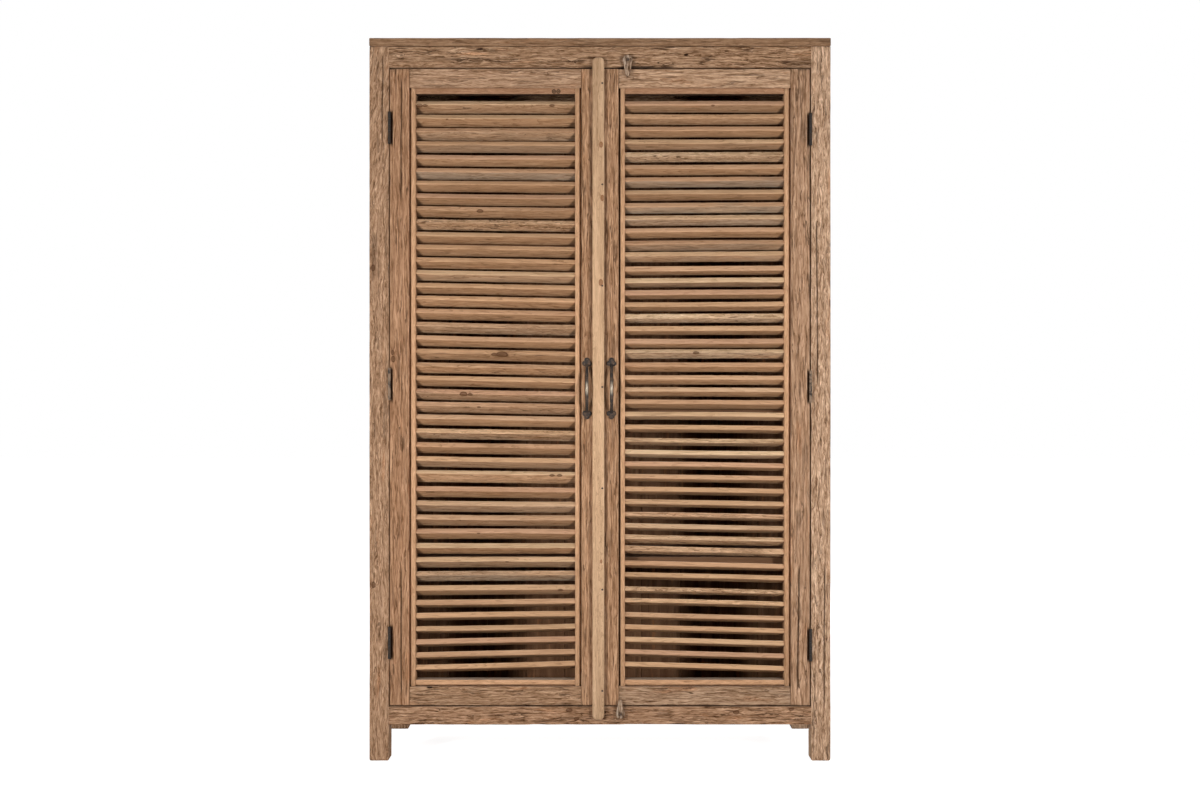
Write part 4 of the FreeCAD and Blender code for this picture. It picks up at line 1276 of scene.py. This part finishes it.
@dataclass
class Door:
    """One louvred door: stiles, rails, the strips round the louvre, and the slats."""

    shop: Workshop
    word: str
    hinge_tone: Tone
    top_tone: Tone
    bottom_tone: Tone
    groove_wide: float = 4 * MM
    groove_deep: float = 10 * MM
    fine: Triple = mm(7, 2.0, 3.0)
    hinge_cracks: tuple[Crack, ...] = ()
    head_knots: tuple[Knot, ...] = ()
    finds: dict[int, SlatFind] = field(default_factory=dict)
    # from which slat on, and how many millimetres the back edge and the lower face have lost
    slat_trims: tuple[tuple[int, float, float], ...] = ((0, 0, 0),)
    lightened_slats: range = range(0)  # those whose colours are made lighter than the others'
    lightened_by: tuple[float, float] = (1.05, 1.07)  # how much lighter their faces and edges are
    rail_holes: tuple[Hole, ...] = ()
    hinge_heights: tuple[float, ...] = ()
    slot_x: float = 0.542  # how far out the notches beside the hinges lie
    hinge_reach: float = 0.0  # how much closer its hinge stile comes to the post on the left
    # painted shadow on the meeting stiles beside the meeting strip
    meeting_painted_shadows: tuple[Stain, ...] = ()
    stile_knots: tuple[Knot, ...] = ()
    meeting_groove_shade: float = 1.0  # how much of its colour the tongue in the groove beside the meeting stile keeps; less paints shade into the groove

    @property
    def body(self) -> str:
        """The CAD body that it rides on."""
        return self.word + "_door"

    @property
    def side(self) -> int:
        """-1 for the left door and 1 for the right one."""
        return SIDES[self.word]

    def build(self) -> None:
        """Makes all its pieces."""
        self.stiles()
        self.rails()
        self.strips()
        self.slats()

    def stiles(self) -> None:
        """The stile that hangs on the hinges, and the one beside the other door."""
        marks = {
            "hinge": {
                "cracks": self.hinge_cracks, "holes": self.hinge_slots(), "knots": self.stile_knots,
            },
            "meeting": {"stains": self.meeting_painted_shadows},
        }
        for part, tone, seed in (("hinge", self.hinge_tone, 61), ("meeting", Tone.MEETING_STILE, 63)):
            node = f"{self.word}_{part}_stile"
            low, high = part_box(node)
            if part == "hinge":
                low.x -= self.hinge_reach
            stile = block(
                Lie.UPRIGHT, low, high, tone, seed + (self.side > 0),
                steps=self.fine, wear=replace(JOINED, arris=1.3 * MM), habit=STRAIGHT, **marks[part],
            )
            self.shop.timber_piece(node, self.body, stile)

    def hinge_slots(self) -> tuple[Hole, ...]:
        """The notches beside the hinges, with painted shade in them."""
        x = self.side * self.slot_x
        return tuple(Hole(x, z, 3.2 * MM, 41 * MM, 5 * MM, slot=True) for z in self.hinge_heights)

    def between_stiles(self, node: str) -> tuple[Vector, Vector]:
        """A rail's corners without its tenons."""
        low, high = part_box(node)
        edges = [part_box(f"{self.word}_{part}_stile") for part in ("hinge", "meeting")]
        edges.sort(key=lambda b: b[0].x)
        low.x, high.x = edges[0][1].x, edges[1][0].x
        return low, high

    def rails(self) -> None:
        """The rails above and below the louvre."""
        for place, tone, seed in (("top", self.top_tone, 71), ("bottom", self.bottom_tone, 73)):
            node = f"{self.word}_door_{place}_rail"
            low, high = self.between_stiles(node)
            rail = block(
                Lie.LEVEL, low, high, tone, seed + (self.side > 0), steps=mm(6, 2.0, 3),
                wear=JOINED, holes=self.rail_holes if place == "bottom" else (),
                habit=Habit(0.85, 0.86) if place == "top" else Habit(0.9, 1.0),
            )
            self.shop.timber_piece(node, self.body, rail)

    def strips(self) -> None:
        """The strips that the slats stand between. A groove leaves a dark line beside each."""
        face = {"steps": mm(8, 2.4, 4), "wear": PLANED}
        tongue = {"steps": mm(20, 4, 9), "wear": replace(PLANED, arris=0.6 * MM)}
        slot = "louvre_strip_wood"
        for part in ("hinge", "meeting"):
            node = f"{self.word}_louvre_{part}_strip"
            low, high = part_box(node)
            groove_on_left = (part == "meeting") == (self.side > 0)
            face_low, face_high, tongue_low, tongue_high = low.copy(), high.copy(), low.copy(), high.copy()
            tongue_low.y += self.groove_deep
            if groove_on_left:
                face_low.x = tongue_high.x = low.x + self.groove_wide
            else:
                face_high.x = tongue_low.x = high.x - self.groove_wide
            seed = 81 + (part == "hinge") + 2 * (self.side > 0)
            # the tongue behind the meeting groove is darkened, as painted shade
            light = self.meeting_groove_shade if part == "meeting" else 1.0
            behind = block(Lie.UPRIGHT, tongue_low, tongue_high, Tone.LOUVRE_STRIP, seed + 10, **tongue)
            self.shop.timber_piece(
                node, self.body,
                block(Lie.UPRIGHT, face_low, face_high, Tone.LOUVRE_STRIP, seed, fade=0.2, **face),
                replace(behind, tint=tuple(c * light for c in behind.tint)),
                slot=slot,
            )
        node = f"{self.word}_louvre_head_strip"
        # its underside gets painted shade
        head = block(
            Lie.LEVEL, *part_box(node), Tone.HEAD_STRIP, 86 + self.side, knots=self.head_knots,
            soot=0.85, **face,
        )
        self.shop.timber_piece(node, self.body, head, slot=slot)
        node = f"{self.word}_louvre_sill_strip"
        low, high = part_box(node)
        face_low, tongue_low, tongue_high = low.copy(), low.copy(), high.copy()
        face_low.z = tongue_high.z = low.z + self.groove_wide
        tongue_low.y += self.groove_deep
        self.shop.timber_piece(
            node, self.body,
            block(Lie.LEVEL, face_low, high, Tone.LOUVRE_STRIP, 96 + self.side, dust=0.9, **face),
            block(Lie.LEVEL, tongue_low, tongue_high, Tone.LOUVRE_STRIP, 99 + self.side, **tongue),
            slot=slot,
        )

    def slat(self, index: int, solid: BMesh) -> Slat:
        """One slat, which lies where its CAD solid does. Its number counts from the top."""
        middle, turn, size = sawn_axes(solid)
        solid.free()
        narrow, thin = mm(*max(trim for trim in self.slat_trims if trim[0] <= index)[1:])
        middle += turn @ Vector((0, narrow / 2, -thin / 2))
        size -= Vector((0, narrow, thin))
        rng = random.Random(1000 + 200 * (self.side > 0) + index)
        find = self.finds.get(index, SlatFind())
        face = between(Tone.SLAT_FACE_BROWN.value, Tone.SLAT_FACE_GREY.value, 0.7 * find.grey_face)
        face = between(face, Tone.PALE.value, 0.7 * find.pale * find.grey_face)
        pale = max(find.pale, rng.random() ** 3)
        pink = rng.choice((0.0, 0.0, 0.0, 0.4, 0.9)) * (1 - find.pale)
        edge = between(Tone.SLAT_EDGE_WARM.value, Tone.SLAT_EDGE_PALE.value, pale)
        edge = between(edge, Tone.SLAT_EDGE_PINK.value, pink)
        lights = np.array([rng.uniform(0.86, 1.10), rng.uniform(0.92, 1.06)])
        if index in self.lightened_slats:
            lights *= self.lightened_by
        seed = rng.randrange(10**6)
        margin, contrast, bow = rng.uniform(1.2, 3.4), rng.uniform(0.75, 1.1), rng.uniform(-1.5, 1.5)
        return Slat(
            middle, turn, size,
            tuple(c * lights[0] * (1 + 0.15 * find.pale) for c in face),
            seed,
            wear=replace(PLANED, wave=(0.5 + 1.2 * find.rough) * MM),
            steps=mm(14, 3.3, 3.3),
            edge_tint=tuple(c * lights[1] for c in edge),
            planed_margin=margin * MM,
            habit=Habit(0.5 + 0.7 * find.rough, contrast + 0.5 * find.rough, 0.5 * find.grey_face),
            rough=find.rough,
            bow=bow * MM,
            knots=tuple(Knot(x, middle.z, radius * MM) for x, radius in find.knots),
        )

    def slats(self) -> None:
        """All its slats."""
        node = self.word + "_slats"
        solids = sorted(solids_of(node), key=lambda s: -middle_of(s).z)
        made = [self.slat(index, solid) for index, solid in enumerate(solids)]
        self.shop.timber_piece(node, self.body, *made, slot="slat_wood")


@dataclass
class MeetingStrip:
    """The rounded strip that covers the gap between the doors."""

    shop: Workshop
    body: str = "right_door"
    corner: float = 12 * MM
    edge: float = 2.6 * MM
    gap_behind: float = 0.5 * MM

    def build(self) -> None:
        """Shapes the strip from a plank with round ends."""
        low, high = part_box("meeting_strip")
        high.y -= self.gap_behind
        timber = RoundedStrip(
            (low + high) / 2, Lie.UPRIGHT.turn(),
            Vector((high.z - low.z, high.x - low.x, high.y - low.y)),
            Tone.MEETING_STRIP.value, 111, wear=replace(PLANED, wave=0.7 * MM, chip=0.2 * MM),
            steps=mm(9, 3, 3),
            knots=(
                Knot(0.003, 1.600, 4.5 * MM), Knot(0.006, 1.462, 4.5 * MM),
                Knot(0.002, 1.243, 5 * MM), Knot(0.003, 0.52, 3 * MM),
            ),
            corner=self.corner, edge=self.edge, fade=0.22,
        )
        self.shop.timber_piece("meeting_strip", self.body, timber, slot="meeting_strip_wood")


@dataclass
class RoundedStrip(Timber):
    """A strip with round corners at its ends and round front edges."""

    corner: float = 9 * MM
    edge: float = 2.6 * MM

    def blank(self) -> BMesh:
        """The plank with its corners and then its front edges rounded, and a grid cut into it."""
        plank = cube(self.size)
        corners = [e for e in plank.edges if abs((e.verts[0].co - e.verts[1].co).z) > self.size.z / 2]
        round_over(plank, corners, self.corner, 6)
        front = self.size.z / 2 - 0.1 * MM
        round_over(plank, [e for e in plank.edges if all(v.co.z > front for v in e.verts)], self.edge, 3)
        cut_grid(plank, dict(enumerate(self.steps[:2])))
        self.refine(plank)
        return plank


@dataclass
class TurnButton:
    """A pear-shaped wooden button that turns on a screw and holds the doors shut."""

    shop: Workshop
    name: str
    points_up: bool
    tip_share: float = 0.42  # the tip's radius, as a share of the head's
    edge: float = 1.8 * MM
    step: float = 3 * MM
    stained: tuple[float, float] = (15 * MM, 9 * MM)  # from where to where the screw has stained it
    countersink_shade: tuple[float, float] = (6.5 * MM, 3.4 * MM)  # the same for the painted shade of a countersink round its head

    def build(self) -> None:
        """Draws the pear's outline round a ring, and raises, rounds and weathers it."""
        low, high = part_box(self.name)
        head = (high.x - low.x) / 2
        tip = head * self.tip_share
        reach = (high.z - low.z) - head - tip
        way = 1 if self.points_up else -1
        pivot = Vector(((low.x + high.x) / 2, high.y, low.z + head if self.points_up else high.z - head))
        lean = (head - tip) / reach
        pear = bmesh.new()
        ring = bmesh.ops.create_circle(pear, cap_ends=True, radius=1.0, segments=56)["verts"]
        for vert in ring:
            normal = vert.co.copy()
            on_tip = normal.y * way > lean
            centre = Vector((0, way * reach if on_tip else 0))
            radius = tip if on_tip else head
            vert.co = Vector((centre.x + normal.x * radius, centre.y + normal.y * radius, 0))
        bmesh.ops.remove_doubles(pear, verts=pear.verts, dist=1e-5)
        raised = bmesh.ops.extrude_face_region(pear, geom=pear.faces[:])["geom"]
        top = [v for v in raised if isinstance(v, BMVert)]
        thick = high.y - low.y
        bmesh.ops.translate(pear, vec=(0, 0, thick), verts=top)
        bmesh.ops.recalc_face_normals(pear, faces=pear.faces)
        round_over(pear, [e for e in pear.edges if e.calc_face_angle(0) > RIM_ANGLE], self.edge, 3)
        cut_grid(pear, {1: self.step, 0: self.step})
        mesh = to_mesh(pear, self.name)
        place, normal = points_of(mesh)
        grain = place[:, [1, 0, 2]] + 3 * len(self.name)
        sunk = 0.35 * MM * NOISE.share(grain, (60, 220, 220)) + 0.3 * MM * NOISE.share(grain, CHIPS)
        place -= normal * sunk[:, None]
        move_points(mesh, place)
        far = np.hypot(place[:, 0], place[:, 1])
        # the rounded rim is darkened, as painted shade
        rim = smooth(normal[:, 2], 0.95, 0.5)
        stained = smooth(far, *self.stained) * (0.35 + 0.3 * NOISE(place + 5, (120, 120, 120)))
        dark = np.maximum(smooth(far, *self.countersink_shade) * 0.85, np.maximum(0.45 * rim, stained))
        write_vectors(mesh, "grain", grain)
        write_vectors(mesh, "tint", np.ones((len(place), 3)) * np.array(Tone.BUTTON.value))
        write_vectors(mesh, "marks", np.column_stack([dark, 0 * dark, 0 * dark]))
        write_vectors(mesh, "habit", np.ones((len(place), 1)) * [1.0, 1.5, 0.35])
        mesh.transform(Matrix.Translation(pivot) @ Matrix.Rotation(math.pi / 2, 4, "X"))
        self.shop.piece(self.name + "_pear", self.name, "button_wood", [mesh], self.name)


@dataclass
class Pull:
    """A forged pull: a round bow that thins towards its ends, between two plates of three lobes."""

    shop: Workshop
    word: str
    plate_thick: float = 3.4 * MM
    # how far each ring of its face reaches, as a share of the outline, and how high it stands
    plate_rings: tuple[tuple[float, float], ...] = (
        (1.0, 0.7), (0.93, 0.95), (0.80, 1.0), (0.62, 1.0), (0.42, 1.0), (0.22, 1.0),
    )
    lobe: float = 7.2 * MM
    side_lobe: tuple[float, float] = (5.3 * MM, 65 * MM)
    tip_lobe: float = 73.2 * MM
    bow_root: float = 64 * MM
    bow_radius: float = 4.8 * MM
    thin_end: float = 0.86

    def outline(self, angle: float, middle: float, end: int) -> float:
        """How far the plate reaches from its middle in a direction."""
        way = Vector((math.cos(angle), math.sin(angle)))
        across, along = self.side_lobe
        far = 0.0
        for x, z in ((-across, along), (across, along), (0.0, self.tip_lobe)):
            centre = Vector((x, end * (z - middle)))
            ahead = centre.dot(way)
            inside = self.lobe**2 - centre.length_squared + ahead**2
            if inside > 0:
                far = max(far, ahead + math.sqrt(inside))
        return max(far, 1.15 * self.lobe)

    def plate(self, x: float, z: float, front: float, end: int) -> Mesh:
        """One plate, with its rim rounded over and its face hammered."""
        middle = (2 * self.side_lobe[1] + self.tip_lobe) / 3
        leaf = bmesh.new()
        ring = bmesh.ops.create_circle(leaf, cap_ends=False, radius=1.0, segments=60)["verts"]
        for vert in ring:
            angle = math.atan2(vert.co.y, vert.co.x)
            far = self.outline(angle, middle, end)
            vert.co = Vector((math.cos(angle), math.sin(angle), 0)) * far
        rim = leaf.edges[:]
        for share, high in self.plate_rings:
            raised = bmesh.ops.extrude_edge_only(leaf, edges=rim)["geom"]
            rim = [e for e in raised if isinstance(e, BMEdge)]
            for vert in (v for v in raised if isinstance(v, BMVert)):
                flat = vert.co.to_2d()
                far = self.outline(math.atan2(flat.y, flat.x), middle, end) * share
                vert.co = (*(flat.normalized() * far), high * self.plate_thick)
        bmesh.ops.contextual_create(leaf, geom=rim)
        bmesh.ops.contextual_create(leaf, geom=[e for e in leaf.edges if e.is_boundary])
        bmesh.ops.recalc_face_normals(leaf, faces=leaf.faces)
        mesh = to_mesh(leaf, "plate")
        place, normal = points_of(mesh)
        hammered = 0.35 * MM * NOISE.share(place + 5 * end + x * 30, (170, 170, 170))
        raised = place[:, 2] > 0.1 * MM
        place -= normal * (hammered * raised)[:, None]
        move_points(mesh, place)
        write_vectors(mesh, "marks", np.zeros((len(place), 3)))
        mesh.transform(
            Matrix.Translation((x, front, z + end * middle)) @ Matrix.Rotation(math.pi / 2, 4, "X")
        )
        return mesh

    def bow(self, x: float, z: float, front: float, reach: float) -> Mesh:
        """The bow, spun from a ring and thinned towards its ends."""
        depth = 2.0 * MM  # its ends lie this deep behind the plates' faces
        rise = reach - self.bow_radius + depth
        radius = (self.bow_root**2 + rise**2) / (2 * rise)
        half = math.asin(self.bow_root / radius)
        centre = Vector((x, front - reach + self.bow_radius + radius, z))
        rod = bmesh.new()
        ring = bmesh.ops.create_circle(rod, cap_ends=True, radius=self.bow_radius, segments=20)["verts"]
        start = Matrix.Rotation(-half, 4, "X") @ Matrix.Translation((0, -radius, 0))
        bmesh.ops.transform(rod, matrix=start, verts=ring)
        faces = rod.faces[:]
        bmesh.ops.spin(
            rod, geom=rod.verts[:] + rod.edges[:] + faces, cent=(0, 0, 0), axis=(1, 0, 0), dvec=(0, 0, 0),
            angle=2 * half, steps=44, use_merge=False, use_duplicate=False,
        )
        bmesh.ops.delete(rod, geom=[f for f in rod.faces if len(f.verts) > 4], context="FACES_ONLY")
        for loop in self.loops(rod):
            bmesh.ops.contextual_create(rod, geom=loop)
        bmesh.ops.recalc_face_normals(rod, faces=rod.faces)
        mesh = to_mesh(rod, "bow")
        place, normal = points_of(mesh)
        angle = np.arctan2(place[:, 2], -place[:, 1])
        share = np.abs(angle) / half
        thin = (1 - self.thin_end) * smooth(share, 0.15, 0.9) * self.bow_radius
        dents = 0.18 * MM * NOISE.share(place + 9 + x * 20, (150, 120, 90))
        place -= normal * (thin + dents)[:, None]
        move_points(mesh, place)
        # worn bright metal and a painted highlight, in the middle of the bow on its faces towards the front
        facing = smooth(-normal[:, 1], 0.35, 0.98)
        worn_and_highlight = smooth(share, 0.38, 0.02) * facing
        write_vectors(mesh, "marks", np.column_stack([worn_and_highlight, 0 * worn_and_highlight, 0 * worn_and_highlight]))
        mesh.transform(Matrix.Translation(centre))
        return mesh

    def loops(self, shape: BMesh) -> list[list[BMEdge]]:
        """The open rims of a tube, one list of edges for each end."""
        open_edges = [e for e in shape.edges if e.is_boundary]
        return [
            [e for e in open_edges if (e.verts[0].co.z > 0) == upper]
            for upper in (False, True)
        ]

    def build(self) -> None:
        """Makes the pull and keeps its tacks."""
        node = self.word + "_handle"
        low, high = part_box(node)
        x, z, front = (low.x + high.x) / 2, (low.z + high.z) / 2, high.y
        parts = [self.plate(x, z, front, end) for end in (-1, 1)]
        parts.append(self.bow(x, z, front, high.y - low.y))
        self.shop.piece(node + "_forged", self.word + "_door", "handle_iron", parts, node)
        self.shop.dress_node(node + "_tacks", "fastener_iron")


@dataclass
class Fittings:
    """The hinges, screws and nails, which keep their CAD solids."""

    shop: Workshop

    def build(self) -> None:
        """Gives each its iron."""
        for word in SIDES:
            for part in ("post_leaves", "door_leaves", "pins", "post_screws", "door_screws"):
                self.shop.dress_node(f"hinge_{part}_{word}", "hinge_iron")
        for node in ("meeting_strip_nails", "top_button_screw", "bottom_button_screw"):
            self.shop.dress_node(node, "fastener_iron")


# ---------------------------------------------------------------- the studio
@dataclass
class Studio:
    """The camera, the lamps, the world and the floor."""

    camera_place: Vector = field(default_factory=lambda: Vector((0, -4.065, 0.887)))
    lens: float = 44.5
    sensor: float = 36.0
    rise: float = 0.0165
    ambient: float = 0.03
    aim: Vector = field(default_factory=lambda: Vector((0, 0, 0.95)))
    floor_reach: tuple[float, float] = (0.8, 1.6)  # from here to there the floor grows to plain white
    floor_glow: tuple[float, float] = (0.91, 1.0)
    paper: Colour = (0.86, 0.86, 0.86)

    def set_camera(self) -> None:
        """Stands the camera level in front of the doors."""
        data = bpy.data.cameras.new("camera")
        data.lens, data.sensor_width, data.shift_y = self.lens, self.sensor, self.rise
        camera = bpy.data.objects.new("camera", data)
        camera.location = self.camera_place
        camera.rotation_euler = (math.pi / 2, 0, 0)
        bpy.context.scene.collection.objects.link(camera)
        bpy.context.scene.camera = camera
        bpy.context.scene.view_settings.view_transform = "Standard"

    def lamp(self, name: str, place: Triple, size: tuple[float, float], watts: float) -> None:
        """A soft rectangular lamp that looks at the cupboard."""
        data = bpy.data.lights.new(name, "AREA")
        data.shape, data.size, data.size_y, data.energy = "RECTANGLE", *size, watts
        lamp = bpy.data.objects.new(name, data)
        lamp.location = place
        lamp.rotation_euler = (self.aim - Vector(place)).to_track_quat("-Z", "Y").to_euler()
        bpy.context.scene.collection.objects.link(lamp)

    def light(self) -> None:
        """Sets the lamps and the world."""
        self.lamp("lamp_left", (-2.05, -2.70, 1.10), (0.26, 0.6), 58)
        self.lamp("lamp_right", (1.80, -2.35, 1.10), (0.24, 0.6), 42)
        self.lamp("lamp_top", (0.0, -1.2, 4.2), (2.4, 1.2), 7)
        self.lamp("lamp_back_left", (-2.8, 3.4, 2.2), (1.6, 1.6), 48)
        self.lamp("lamp_back_right", (2.8, 3.0, 2.0), (1.6, 1.6), 48)
        world = bpy.data.worlds.new("studio")
        world.use_nodes = True
        bpy.context.scene.world = world
        work = Tree(world.node_tree)
        lit, seen = (
            work.node("ShaderNodeBackground", {}, {"Color": (1, 1, 1), "Strength": strength}).outputs[0]
            for strength in (self.ambient, 1.0)
        )
        straight = work.any_ray("Is Camera Ray", "Is Glossy Ray", "Is Transmission Ray")
        mix = work.node("ShaderNodeMixShader", {}, {0: straight, 1: lit, 2: seen})
        work.node("ShaderNodeOutputWorld", {}, {"Surface": mix.outputs[0]})

    def lay_floor(self) -> None:
        """A wide pale floor, which the camera sees as white but for the cupboard's shadow."""
        ground = bmesh.new()
        bmesh.ops.create_grid(ground, x_segments=1, y_segments=1, size=30)
        mesh = to_mesh(ground, "floor")
        material = bpy.data.materials.new("floor_paper")
        material.use_nodes = True
        work = Tree(material.node_tree)
        place = work.node("ShaderNodeTexCoord", {}, {}).outputs["Object"]
        far = work.node("ShaderNodeVectorMath", {"operation": "LENGTH"}, {0: place})
        reach = {"From Min": self.floor_reach[0], "From Max": self.floor_reach[1]}
        glows = {"To Min": self.floor_glow[0], "To Max": self.floor_glow[1]}
        level = work.node("ShaderNodeMapRange", {}, {"Value": far.outputs["Value"], **reach, **glows})
        shine = work.any_ray("Is Camera Ray", "Is Glossy Ray") * level.outputs[0]
        paper = work.node("ShaderNodeBsdfDiffuse", {}, {"Color": self.paper})
        glow = work.node("ShaderNodeEmission", {}, {"Strength": shine})
        both = work.node("ShaderNodeAddShader", {}, {0: paper.outputs[0], 1: glow.outputs[0]})
        work.node("ShaderNodeOutputMaterial", {}, {"Surface": both.outputs[0]})
        mesh.materials.append(material)
        floor = bpy.data.objects.new("floor", mesh)
        bpy.context.scene.collection.objects.link(floor)


def main() -> None:
    """Builds the studio and the cupboard."""
    logging.basicConfig(level=logging.INFO, format="%(name)s: %(message)s")
    studio = Studio()
    studio.set_camera()
    studio.light()
    studio.lay_floor()
    shop = Workshop()
    Carcase(shop).build()
    Door(
        shop, "left", Tone.HINGE_STILE_LEFT, Tone.DOOR_TOP_LEFT, Tone.DOOR_BOTTOM_LEFT,
        hinge_cracks=(Crack((-0.518, 1.44), (-0.516, 1.79)), Crack((-0.517, 0.15), (-0.516, 0.52))),
        hinge_reach=1.0 * MM,
        stile_knots=(Knot(-0.5395, 1.062, 4 * MM), Knot(-0.5375, 1.045, 5 * MM)),
        meeting_painted_shadows=(Stain(-0.0225, 1.42, 4 * MM, 0.40, Tone.PAINTED_STRIP_SHADOW.value, 0.5),),
        head_knots=(Knot(-0.1196, 1.7405, 5.6 * MM, 0.9), Knot(-0.1082, 1.7405, 5.6 * MM, 0.9)),
        hinge_heights=(0.308, 0.980, 1.6455),
        finds=LEFT_FINDS, lightened_slats=range(12, 37),
        slat_trims=((0, 0, 0), (3, 2.2, 0.7), (23, 1.4, 0.4), (29, 0.4, 0.1), (37, 1.0, 1.0)),
        rail_holes=(Hole(-0.443, 0.192, 7 * MM, 3.2 * MM),),
    ).build()
    Door(
        shop, "right", Tone.HINGE_STILE_RIGHT, Tone.DOOR_TOP_RIGHT, Tone.DOOR_BOTTOM_RIGHT,
        hinge_cracks=(Crack((0.513, 0.16), (0.519, 0.52)),),
        meeting_groove_shade=0.2,
        meeting_painted_shadows=(Stain(0.0135, 0.95, 5 * MM, 0.95, Tone.PAINTED_STRIP_SHADOW.value, 0.45),),
        hinge_heights=(0.3015, 0.973, 1.6415),
        finds=RIGHT_FINDS, lightened_slats=range(12, 30),
        slat_trims=((0, 0, 0), (1, 2.5, 0.8), (21, 2.5, 2.0)),
    ).build()
    MeetingStrip(shop).build()
    for word in SIDES:
        Pull(shop, word).build()
    TurnButton(shop, "top_button", points_up=False).build()
    TurnButton(shop, "bottom_button", points_up=True).build()
    Fittings(shop).build()
    log.info("%d new pieces", shop.count)


if __name__ == "__main__":
    main()
